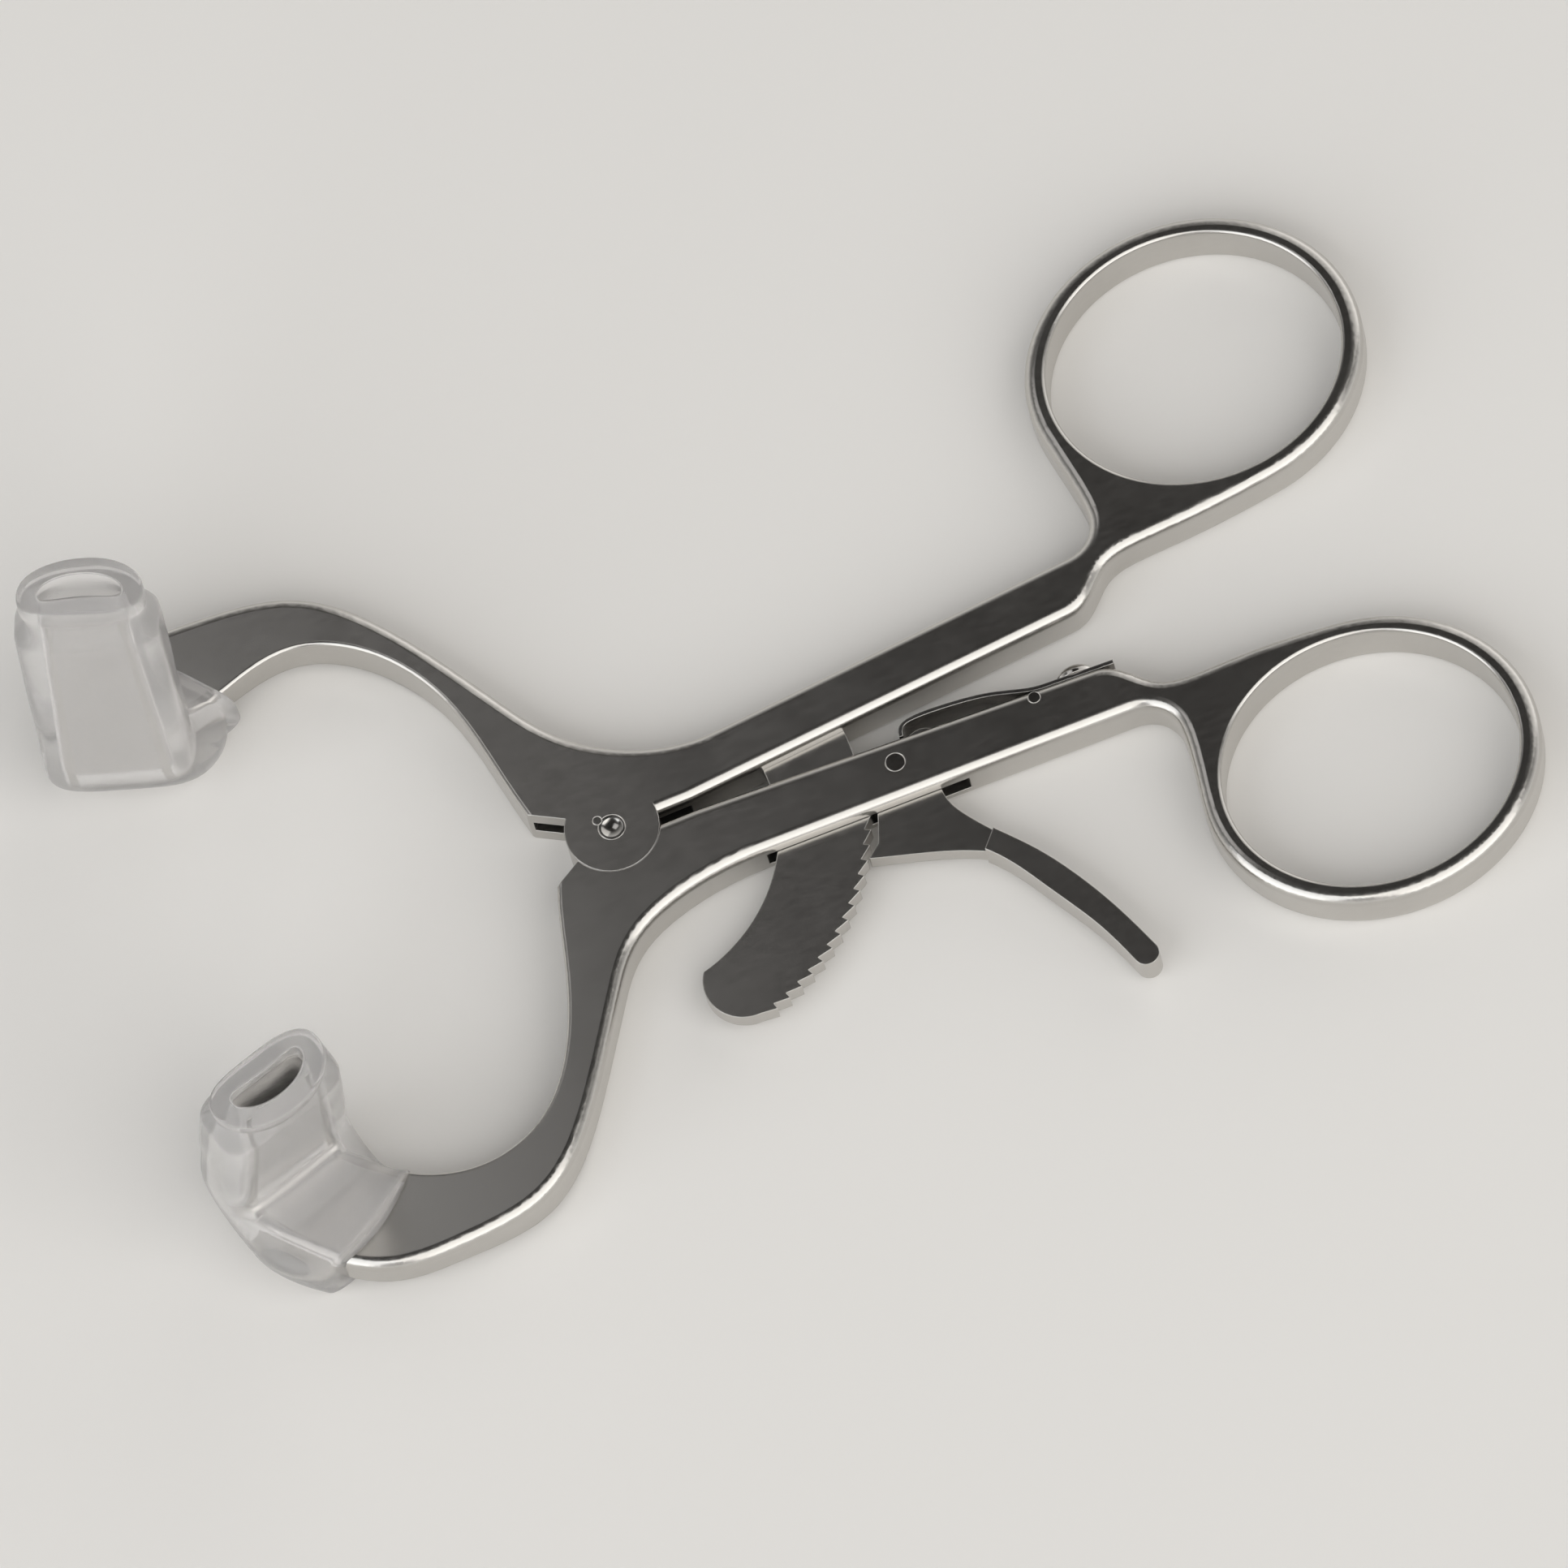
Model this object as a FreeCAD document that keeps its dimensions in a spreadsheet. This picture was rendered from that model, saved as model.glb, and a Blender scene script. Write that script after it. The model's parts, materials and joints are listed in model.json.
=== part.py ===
import FreeCAD, Part
import math
import os

import Sketcher
from FreeCAD import Placement, Rotation, Vector

# Scissor-type mouth gag with a ratchet, lying flat on its back.
# Squeezing the finger rings spreads the two jaws. The origin is on the pivot axis at the underside,
# +X runs toward the finger rings, +Y toward the upper half, +Z up through the thickness.
# Every length is in millimetres and every angle in degrees.

SIZES = [
    ("plate_thickness", 5.2, "thickness of both halves at pivot and handles"),
    ("cheek_thickness", 1.7, "each cheek of the fork on the upper half"),
    ("joint_clearance", 0.05, "running clearance between moving faces"),
    ("boss_radius", 4.57, "round boss of the box joint"),
    ("fork_slot_radius", 7.9, "depth of the slot milled in the upper half"),
    ("pivot_radius", 1.3, "pivot screw"),
    ("pivot_head_radius", 2.3, "flush head of the pivot screw, sunk in the back cheek"),
    ("pivot_head_height", 0.9, "height of that head"),
    ("pivot_dish_depth", 0.25, "polished dish in the screw's front end"),
    ("lock_pin_radius", 0.45, "pin that locks the screw in the front cheek"),
    ("lock_pin_depth", 1.4, "depth of the lock pin"),
    ("lock_pin_offset", 1.58, "lock pin from the pivot axis"),
    ("handle_root_x", 8.0, "start of the straight part of the handles"),
    ("handle_end_x", 48.0, "end of the straight part of the handles"),
    ("upper_inner_root_y", -0.2, "inner edge of the upper handle at its root"),
    ("upper_inner_end_y", 2.8, "inner edge of the upper handle at its end"),
    ("upper_root_width", 5.5, "width of the upper handle at its root"),
    ("upper_end_width", 5.6, "width of the upper handle at its end"),
    ("lower_inner_root_y", -1.3, "inner edge of the lower handle at its root"),
    ("lower_inner_end_y", -3.4, "inner edge of the lower handle at its end"),
    ("lower_root_width", 6.7, "width of the lower handle at its root"),
    ("lower_end_width", 5.5, "width of the lower handle at its end"),
    ("ring_centre_x", 68.6, "centre of the finger rings along the handles"),
    ("ring_centre_y", 23.0, "centre of the finger rings from the midline"),
    ("ring_hole_long", 14.35, "half of the finger opening along the handles"),
    ("ring_hole_short", 12.9, "half of the finger opening across"),
    ("ring_band", 1.95, "width of the band around the finger opening"),
    ("neck_radius", 3.6, "inside corner where a handle meets its ring"),
    ("web_step", 4.0, "how far the ring's web steps away from the handle's inner edge"),
    ("web_run", 7.0, "length of that step"),
    ("outer_round", 1.1, "rounded outer edges of handles and rings"),
    ("inner_break", 0.4, "small break on the inner edges"),
    ("upper_reach", 39.2, "upper jaw bend from the pivot, along the midline"),
    ("upper_rise", 29.3, "upper jaw bend from the midline"),
    ("upper_jaw_angle", -20.0, "direction of the upper blade's width"),
    ("lower_reach", 40.4, "lower jaw bend from the pivot, along the midline"),
    ("lower_drop", 22.1, "lower jaw bend from the midline"),
    ("lower_jaw_angle", 17.0, "direction of the lower blade's width"),
    ("arm_lift", 1.8, "height of the thinned jaw arm above the underside"),
    ("bend_radius", 1.6, "inside radius of the bend into the blade"),
    ("blade_width", 10.4, "width of the blade at its bend"),
    ("blade_tip_width", 8.2, "width of the blade at its tip"),
    ("blade_tip_thickness", 2.6, "thickness of the blade at its tip"),
    ("blade_corner_radius", 0.8, "rounded edges of the blade and its bend"),
    ("blade_length", 22.0, "length of the blade above its bend"),
    ("blade_lean", 11.5, "outward lean of the blade"),
    ("sleeve_wall", 1.8, "wall of the soft sleeves"),
    ("sleeve_side_wall", 2.0, "wall of the sleeves at the blade's edges"),
    ("sleeve_lip_over", 3.4, "sleeve beyond the tip of the blade"),
    ("sleeve_lip_height", 2.0, "height of the lip ring"),
    ("sleeve_neck_length", 3.4, "narrow neck of the sleeve below its lip ring"),
    ("sleeve_heel_length", 9.5, "sleeve along the arm from the bend"),
    ("ratchet_thickness", 1.9, "thickness of ratchet bar and pawl"),
    ("ratchet_root_radius", 23.95, "root circle of the ratchet teeth"),
    ("tooth_depth", 0.65, "depth of the ratchet teeth"),
    ("tooth_pitch", 3.72, "angle from tooth to tooth"),
    ("tooth_count", 16, "number of teeth"),
    ("held_tooth", 4, "number of the tooth that the pawl holds"),
    ("ratchet_width", 8.3, "radial width of the ratchet bar"),
    ("ratchet_socket_angle", 7.5, "angle at which the bar ends inside the upper handle"),
    ("ratchet_end_angle", -81.0, "angle of the rounded end of the bar"),
    ("slot_clearance", 0.1, "play of ratchet and pawl in the slot, each side"),
    ("slot_inside", 3.65, "slot in the lower handle, beyond the inner edge of the ratchet bar"),
    ("slot_beyond_pin", 5.95, "slot in the lower handle, beyond the pawl pin"),
    ("pawl_pin_stand", 3.63, "pawl pin outside the root circle of the teeth"),
    ("pawl_pin_angle", -10.13, "pawl pin about the pivot"),
    ("pawl_pin_radius", 0.95, "pawl pin"),
    ("pawl_hub_radius", 2.6, "round hub of the pawl about its pin"),
    ("pawl_drop", 29.0, "thumb end of the pawl below its pin"),
    ("pawl_swing", 15.9, "thumb end of the pawl beyond its pin, toward the rings"),
    ("pawl_lobe_radius", 1.9, "heel lobe that the spring presses"),
    ("pawl_nose_angle", -30.2, "place of the nose on the ratchet"),
    ("pawl_rest_gap", 0.12, "nose of the pawl from the tooth tips at rest"),
    ("pawl_tail_thickness", 3.2, "thumb end of the pawl"),
    ("spring_thickness", 0.4, "leaf spring"),
    ("spring_width", 3.8, "width of the leaf spring"),
    ("spring_rise", 1.75, "height of the spring's arch above the handle"),
    ("spring_tip_beyond_pin", 1.45, "free end of the spring from the pawl pin, toward the rings"),
    ("spring_end_x", 50.0, "fixed end of the spring"),
    ("spring_screw_x", 46.2, "spring screw along the handle"),
    ("spring_screw_radius", 1.0, "shank of the spring screw"),
    ("spring_screw_length", 3.6, "shank of the spring screw in the handle"),
    ("spring_head_radius", 2.1, "domed head of the spring screw"),
    ("spring_head_height", 1.5, "domed head of the spring screw"),
    ("side_pin_x", 41.7, "side pin along the handle"),
    ("side_pin_inset", 0.95, "side pin from the inner edge of the handle"),
    ("side_pin_radius", 0.6, "side pin"),
    ("side_pin_depth", 2.2, "depth of the side pin"),
]

doc = FreeCAD.newDocument("mouth_gag")
sheet = doc.addObject("Spreadsheet::Sheet", "Sizes")
for row, (alias, value, note) in enumerate(SIZES, start=1):
    sheet.set("A%d" % row, note)
    sheet.set("B%d" % row, str(value))
    sheet.setAlias("B%d" % row, alias)
doc.recompute()


def size(alias):
    """Read one driving dimension from the sheet."""
    return float(sheet.get(alias))


def polar(radius, angle):
    """Point in the plan at a radius and an angle about the pivot."""
    return Vector(radius * math.cos(math.radians(angle)), radius * math.sin(math.radians(angle)), 0)


def plan(x, y):
    return Vector(x, y, 0)


T = size("plate_thickness")
MID = T / 2

# PartDesign helpers: each makes one feature of a body and binds its sizes to the sheet.


def new_body(name):
    body = doc.addObject("PartDesign::Body", name)
    body.Label = name
    return body


def plane_of(body, role):
    for feature in body.Origin.OriginFeatures:
        if feature.Role == role:
            return feature
    raise ValueError(role)


def sketch_on(body, name, edges, offset=None, role="XY_Plane"):
    """Sketch on an origin plane of the body, moved by a placement, from a list of curves."""
    sketch = body.newObject("Sketcher::SketchObject", name)
    sketch.AttachmentSupport = [(plane_of(body, role), "")]
    sketch.MapMode = "FlatFace"
    if offset is not None:
        sketch.AttachmentOffset = offset
    sketch.addGeometry(edges, False)
    return sketch


def lift(sketch, expression):
    """Bind the height of a sketch's plane to the sheet."""
    sketch.setExpression(".AttachmentOffset.Base.z", expression)


def circle_on(body, name, centre, alias, grow="0"):
    """Sketch of one circle whose radius is bound to the sheet."""
    sketch = sketch_on(body, name, [Part.Circle(centre, Vector(0, 0, 1), size(alias))])
    sketch.addConstraint(Sketcher.Constraint("Radius", 0, size(alias)))
    sketch.setExpression("Constraints[0]", "Sizes.%s + (%s)" % (alias, grow))
    return sketch


def pad(body, name, sketch, length, midplane=False):
    feature = body.newObject("PartDesign::Pad", name)
    feature.Profile = sketch
    feature.Midplane = midplane
    feature.setExpression("Length", length)
    body.Tip = feature
    return feature


def pocket(body, name, sketch, length, upward=False):
    feature = body.newObject("PartDesign::Pocket", name)
    feature.Profile = sketch
    feature.Reversed = upward
    feature.setExpression("Length", length)
    body.Tip = feature
    return feature


def fillet(body, name, chosen, radius):
    """Round the edges of the body's tip for which chosen(edge) is true."""
    doc.recompute()
    tip = body.Tip
    names = ["Edge%d" % (i + 1) for i, edge in enumerate(tip.Shape.Edges) if chosen(edge)]
    feature = body.newObject("PartDesign::Fillet", name)
    feature.Base = (tip, names)
    feature.setExpression("Radius", radius)
    body.Tip = feature
    return feature


def segment(start, end):
    return Part.LineSegment(start, end)


def spline(points):
    """Smooth curve that starts and ends on the first and last point and is drawn by those between."""
    curve = Part.BSplineCurve()
    curve.buildFromPoles(points, False, 3)
    return curve


def arc_about(centre, radius, start, end):
    """Arc from one angle to another about a centre."""
    circle = Part.Circle(centre, Vector(0, 0, 1), radius)
    return Part.ArcOfCircle(circle, math.radians(start), math.radians(end))


def rounded_box(x0, y0, x1, y1, radius):
    """Edges of a rectangle whose corners are arcs."""
    edges = []
    for x, y, start in ((x1, y1, 0), (x0, y1, 90), (x0, y0, 180), (x1, y0, 270)):
        centre = plan(x - math.copysign(radius, x - (x0 + x1) / 2),
                      y - math.copysign(radius, y - (y0 + y1) / 2))
        edges.append(arc_about(centre, radius, start, start + 90))
    for i in range(4):
        edges.append(segment(edges[i].EndPoint, edges[(i + 1) % 4].StartPoint))
    return edges


def box_edges(x0, y0, x1, y1):
    corners = [plan(x0, y0), plan(x1, y0), plan(x1, y1), plan(x0, y1)]
    return [segment(corners[i], corners[(i + 1) % 4]) for i in range(4)]


class Half:
    """The plan of one half: side is +1 for the upper half and -1 for the lower one."""

    def __init__(self, side, inner, width, reach, rise, jaw_angle):
        self.side = side
        self.reach = reach
        self.rise = rise
        root_x, end_x = size("handle_root_x"), size("handle_end_x")
        self.inner_root = plan(root_x, inner[0])
        self.inner_end = plan(end_x, inner[1])
        self.outer_root = plan(root_x, inner[0] + side * width[0])
        self.outer_end = plan(end_x, inner[1] + side * width[1])
        self.bend = plan(-reach, side * rise)
        self.across = polar(1, jaw_angle)
        self.inward = Vector(0, 0, 1).cross(self.across) * -side
        self.ring = plan(size("ring_centre_x"), side * size("ring_centre_y"))

    def arm(self, share_x, share_y):
        """Point of the curved arm as shares of the jaw's reach and rise."""
        return plan(-share_x * self.reach, self.side * share_y * self.rise)

    def jaw(self, height=0, tilt=0, along=0):
        """Frame on the bend axis: X across the blade, Y inward, then tilted and moved along the blade."""
        turn = Rotation(self.across * -self.side, self.inward, Vector(0, 0, 1), "ZXY")
        base = Placement(self.bend + Vector(0, 0, height), turn)
        lean = Placement(Vector(0, 0, 0), Rotation(Vector(1, 0, 0), tilt))
        return base * lean * Placement(Vector(0, 0, along), Rotation())


def toward(start, end):
    return (end - start).normalize()


def ring_band(half):
    """Outer edge of the ring: an arc of an ellipse with its end points and their directions."""
    long_axis = size("ring_hole_long") + size("ring_band") * 1.1
    short_axis = size("ring_hole_short") + size("ring_band") * 0.95
    start, end = 180 + half.side * 4.5, 180 + half.side * 99
    points, directions = [], []
    for angle in (start, end):
        a = math.radians(angle)
        points.append(half.ring + plan(long_axis * math.cos(a), short_axis * math.sin(a)))
        tangent = plan(-long_axis * math.sin(a), short_axis * math.cos(a)) * -half.side
        directions.append(tangent.normalize())
    span = (end - 360, start) if half.side > 0 else (start, end + 360)
    ellipse = Part.Ellipse(half.ring, long_axis, short_axis)
    band = Part.ArcOfEllipse(ellipse, math.radians(span[0]), math.radians(span[1]))
    return band, points, directions


def half_outline(half, arm_outer, arm_inner, boss_end_angle):
    """Closed plan of one half, from the jaw along its outer edge and back along the inner one."""
    side = half.side
    half_width = half.across * (size("blade_width") / 2)
    jaw_outer, jaw_inner = half.bend - half_width, half.bend + half_width
    outer_line = toward(half.outer_root, half.outer_end)
    inner_line = toward(half.inner_end, half.inner_root)

    boss = size("boss_radius")
    outer_start = half.outer_root + outer_line * boss
    arm_out = spline([jaw_outer] + arm_outer + [outer_start - outer_line * boss, outer_start])

    band, ring_points, ring_ways = ring_band(half)
    radius = size("neck_radius")
    away = plan(-outer_line.y, outer_line.x) * side
    neck_x = ring_points[0].x + size("ring_band") * 0.6
    neck_start_x = neck_x - radius - away.x * radius
    neck_start = half.outer_root + outer_line * ((neck_start_x - half.outer_root.x) / outer_line.x)
    neck_centre = neck_start + away * radius
    neck_end = neck_centre + plan(radius, 0)
    halfway = (toward(neck_centre, neck_start) + toward(neck_centre, neck_end)).normalize()
    neck = Part.Arc(neck_start, neck_centre + halfway * radius, neck_end)
    riser_leg = toward(neck_end, ring_points[0]).dot(plan(0, side)) * radius * 0.8
    riser = spline([neck_end, neck_end + plan(0, side * riser_leg),
                    ring_points[0] - ring_ways[0] * riser_leg, ring_points[0]])

    step, run = size("web_step") * side, size("web_run")
    web = spline([ring_points[1], ring_points[1] + ring_ways[1] * run,
                  half.inner_end + plan(run * 1.2, step * 1.12),
                  half.inner_end + plan(run * 0.62, step * 0.98),
                  half.inner_end - inner_line * (run * 0.3), half.inner_end])

    boss_start_angle = math.degrees(math.asin(half.inner_root.y / boss))
    boss_start, boss_end = polar(boss, boss_start_angle), polar(boss, boss_end_angle)
    span = [boss_end_angle, boss_start_angle + 360] if side > 0 else [boss_start_angle, boss_end_angle]
    disc = arc_about(plan(0, 0), boss, *span)
    arm_in = spline(arm_inner + [jaw_inner])
    return [arm_out, segment(outer_start, neck_start), neck, riser, band, web,
            segment(half.inner_end, half.inner_root), segment(half.inner_root, boss_start),
            disc, segment(boss_end, arm_inner[0]), arm_in, segment(jaw_inner, jaw_outer)]


def ring_hole(half):
    return Part.Ellipse(half.ring, size("ring_hole_long"), size("ring_hole_short"))


def on_curves(edge, curves, tolerance=0.02):
    """True if an edge lies over one of the given plan curves."""
    middle = edge.valueAt((edge.FirstParameter + edge.LastParameter) / 2)
    probe = Part.Vertex(middle.x, middle.y, 0)
    return any(curve.toShape().distToShape(probe)[0] < tolerance for curve in curves)


def flat_edge(edge):
    """True for an edge that lies in the top or the bottom plane of a half."""
    box = edge.BoundBox
    level = box.ZMin
    return box.ZLength < 1e-4 and (abs(level) < 1e-4 or abs(level - T) < 1e-4)


def jaw_blade(body, half, label):
    """Bend at the end of the arm and the blade that rises from it."""
    axis_height = T + size("bend_radius")
    inner, outer = size("bend_radius"), axis_height - size("arm_lift")
    width = size("blade_width") / 2
    upright = Placement(Vector(0, 0, 0), Rotation(Vector(1, 0, 0), 90))
    corner = size("blade_corner_radius")
    section = sketch_on(body, label + "_bend_section", rounded_box(-width, -outer, width, -inner, corner),
                        half.jaw(axis_height) * upright)
    bend = body.newObject("PartDesign::Revolution", label + "_bend")
    bend.Profile = section
    bend.ReferenceAxis = (section, ["H_Axis"])
    bend.setExpression("Angle", "90 + Sizes.blade_lean")
    body.Tip = bend
    doc.recompute()

    lean = size("blade_lean")
    tip_width = size("blade_tip_width") / 2
    slack = (outer - inner - size("blade_tip_thickness")) / 2
    root = sketch_on(body, label + "_blade_root", rounded_box(-width, inner, width, outer, corner),
                     half.jaw(axis_height, lean))
    tip = sketch_on(body, label + "_blade_tip",
                    rounded_box(-tip_width, inner + slack, tip_width, outer - slack, corner),
                    half.jaw(axis_height, lean, size("blade_length")))
    blade = body.newObject("PartDesign::AdditiveLoft", label + "_blade")
    blade.Profile = root
    blade.Sections = [tip]
    body.Tip = blade
    return blade


def thin_the_arm(body, label):
    """Cut the underside of the arm to a slope, so that the arm thins toward the jaw."""
    start, end, lift_height = -2 * size("boss_radius"), -0.75 * size("upper_reach"), size("arm_lift")
    far = -2 * size("upper_reach")
    corners = [(start, 0), (end, lift_height), (far, lift_height), (far, -1), (start, -1)]
    points = [plan(x, y) for x, y in corners]
    edges = [segment(points[i], points[(i + 1) % 5]) for i in range(5)]
    side_view = sketch_on(body, label + "_arm_slope", edges, role="XZ_Plane")
    cut = body.newObject("PartDesign::Pocket", label + "_arm_thinning")
    cut.Profile = side_view
    cut.Type = "ThroughAll"
    cut.Midplane = True
    body.Tip = cut
    return cut


def build_upper_half(half):
    """Half with the fork: two round cheeks that take the tongue of the lower half between them."""
    boss = size("boss_radius")
    arm_outer = [half.arm(1.1, 1.19), half.arm(0.95, 1.28), half.arm(0.76, 1.27),
                 half.arm(0.55, 1.25), half.arm(0.40, 1.14), half.arm(0.255, 0.88),
                 half.arm(0.128, 0.572), plan(-0.1 * boss, 1.98 * boss)]
    arm_inner = [plan(-1.53 * boss, boss), half.arm(0.195, 0.25), half.arm(0.215, 0.47),
                 half.arm(0.262, 0.72), half.arm(0.38, 0.94), half.arm(0.54, 1.055),
                 half.arm(0.70, 1.0), half.arm(0.79, 0.95)]
    outline = half_outline(half, arm_outer, arm_inner, 145)
    body = new_body("upper_half")
    profile = sketch_on(body, "upper_plan", outline + [ring_hole(half)])
    pad(body, "upper_plate", profile, "Sizes.plate_thickness")
    outer_run = outline[0:5]
    fillet(body, "upper_outer_round", lambda e: flat_edge(e) and on_curves(e, outer_run),
           "Sizes.outer_round")
    ring_inner = [ring_hole(half)]
    fillet(body, "upper_inner_break",
           lambda e: flat_edge(e) and on_curves(e, outline[5:7] + [outline[10]] + ring_inner),
           "Sizes.inner_break")
    thin_the_arm(body, "upper")
    slot = circle_on(body, "upper_slot_plan", plan(0, 0), "fork_slot_radius")
    lift(slot, "Sizes.cheek_thickness")
    pocket(body, "upper_slot", slot, "Sizes.plate_thickness - 2 * Sizes.cheek_thickness", True)
    bore = circle_on(body, "upper_bore_plan", plan(0, 0), "pivot_radius")
    pocket(body, "upper_bore", bore, "Sizes.plate_thickness", True)
    sink = body.newObject("PartDesign::SubtractiveCone", "upper_head_sink")
    sink.setExpression("Radius1", "Sizes.pivot_head_radius")
    sink.setExpression("Radius2", "Sizes.pivot_radius")
    sink.setExpression("Height", "Sizes.pivot_head_height")
    body.Tip = sink
    pin_hole = circle_on(body, "upper_lock_pin_plan", lock_pin_centre(), "lock_pin_radius")
    lift(pin_hole, "Sizes.plate_thickness - Sizes.lock_pin_depth")
    pocket(body, "upper_lock_pin_hole", pin_hole, "Sizes.lock_pin_depth", True)
    socket = sketch_on(body, "upper_ratchet_socket_plan", ratchet_outline())
    lift(socket, "(Sizes.plate_thickness - Sizes.ratchet_thickness) / 2")
    pocket(body, "upper_ratchet_socket", socket, "Sizes.ratchet_thickness", True)
    jaw_blade(body, half, "upper")
    return body


def build_lower_half(half):
    """Half with the tongue between the cheeks of the upper one, and the slot for ratchet and pawl."""
    boss = size("boss_radius")
    arm_outer = [half.arm(1.10, 1.2), half.arm(1.0, 1.42), half.arm(0.86, 1.57),
                 half.arm(0.7, 1.56), half.arm(0.5, 1.54), half.arm(0.36, 1.36),
                 half.arm(0.22, 0.98), half.arm(0.124, 0.70), half.arm(0.03, 0.445)]
    arm_inner = [plan(-1.53 * boss, -0.8 * boss), half.arm(0.192, 0.25), half.arm(0.222, 0.5),
                 half.arm(0.28, 0.83), half.arm(0.38, 1.12), half.arm(0.52, 1.25),
                 half.arm(0.68, 1.24), half.arm(0.80, 1.10)]
    outline = half_outline(half, arm_outer, arm_inner, 205)
    body = new_body("lower_half")
    profile = sketch_on(body, "lower_plan", outline + [ring_hole(half)])
    pad(body, "lower_plate", profile, "Sizes.plate_thickness")
    fillet(body, "lower_outer_round", lambda e: flat_edge(e) and on_curves(e, outline[0:5]),
           "Sizes.outer_round")
    fillet(body, "lower_inner_break",
           lambda e: flat_edge(e) and on_curves(e, outline[5:7] + [outline[10], ring_hole(half)]),
           "Sizes.inner_break")
    thin_the_arm(body, "lower")
    for label, height in (("front", "Sizes.plate_thickness - Sizes.cheek_thickness - Sizes.joint_clearance"),
                          ("back", "0")):
        recess = circle_on(body, "lower_%s_recess_plan" % label, plan(0, 0), "boss_radius",
                           "Sizes.joint_clearance")
        lift(recess, height)
        pocket(body, "lower_%s_recess" % label, recess,
               "Sizes.cheek_thickness + Sizes.joint_clearance", True)
    bore = circle_on(body, "lower_bore_plan", plan(0, 0), "pivot_radius", "Sizes.joint_clearance")
    pocket(body, "lower_bore", bore, "Sizes.plate_thickness", True)

    start = size("ratchet_root_radius") - size("ratchet_width") - size("slot_inside")
    end = pawl_pin().x + size("slot_beyond_pin")
    low, high = half.outer_root.y * 1.3, half.inner_root.y * 0.3
    slant = 0.12 * (end - start)
    corners = [plan(start, low), plan(end, low), plan(end, high), plan(start + slant, high)]
    edges = [segment(corners[i], corners[(i + 1) % 4]) for i in range(4)]
    slot = sketch_on(body, "lower_slot_plan", edges)
    lift(slot, "(Sizes.plate_thickness - Sizes.ratchet_thickness) / 2 - Sizes.slot_clearance")
    pocket(body, "lower_slot", slot, "Sizes.ratchet_thickness + 2 * Sizes.slot_clearance", True)

    pin_hole = circle_on(body, "lower_pawl_pin_plan", pawl_pin(), "pawl_pin_radius")
    pocket(body, "lower_pawl_pin_hole", pin_hole, "Sizes.plate_thickness", True)
    side_hole = circle_on(body, "lower_side_pin_plan", side_pin_centre(half), "side_pin_radius")
    lift(side_hole, "Sizes.plate_thickness - Sizes.side_pin_depth")
    pocket(body, "lower_side_pin_hole", side_hole, "Sizes.side_pin_depth", True)
    screw_hole = sketch_on(body, "lower_screw_hole_plan",
                           [Part.Circle(plan(0, 0), Vector(0, 0, 1), size("spring_screw_radius"))],
                           spring_seat(half) * Placement(Vector(0, 0, 0), Rotation(Vector(1, 0, 0), 90)))
    screw_hole.addConstraint(Sketcher.Constraint("Radius", 0, size("spring_screw_radius")))
    screw_hole.setExpression("Constraints[0]", "Sizes.spring_screw_radius")
    pocket(body, "lower_screw_hole", screw_hole, "Sizes.spring_screw_length", True)
    jaw_blade(body, half, "lower")
    return body


# Small pieces of the box joint.


def lock_pin_centre():
    return polar(size("lock_pin_offset"), 131)


def build_pivot_screw():
    """Screw through both cheeks and the tongue, with a flush sunk head under the back cheek."""
    body = new_body("pivot_screw")
    shank = body.newObject("PartDesign::AdditiveCylinder", "screw_shank")
    shank.setExpression("Radius", "Sizes.pivot_radius")
    shank.setExpression("Height", "Sizes.plate_thickness")
    head = body.newObject("PartDesign::AdditiveCone", "screw_head")
    head.setExpression("Radius1", "Sizes.pivot_head_radius")
    head.setExpression("Radius2", "Sizes.pivot_radius")
    head.setExpression("Height", "Sizes.pivot_head_height")
    body.Tip = head
    dish_radius, depth = 0.8 * size("pivot_radius"), size("pivot_dish_depth")
    ball_radius = (dish_radius ** 2 + depth ** 2) / (2 * depth)
    dish = body.newObject("PartDesign::SubtractiveSphere", "screw_dish")
    dish.Radius = ball_radius
    dish.AttachmentOffset = Placement(Vector(0, 0, T - depth + ball_radius), Rotation())
    dish.AttachmentSupport = [(plane_of(body, "XY_Plane"), "")]
    dish.MapMode = "FlatFace"
    body.Tip = dish
    notch = circle_on(body, "screw_notch_plan", lock_pin_centre(), "lock_pin_radius")
    lift(notch, "Sizes.plate_thickness - Sizes.lock_pin_depth")
    pocket(body, "screw_notch", notch, "Sizes.lock_pin_depth", True)
    return body


def round_pin(name, centre, alias, height, length):
    """Plain round pin parallel to the pivot axis."""
    body = new_body(name)
    section = circle_on(body, name + "_section", centre, alias)
    lift(section, height)
    pad(body, name + "_pad", section, length)
    return body


# Ratchet bar and pawl.


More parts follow.
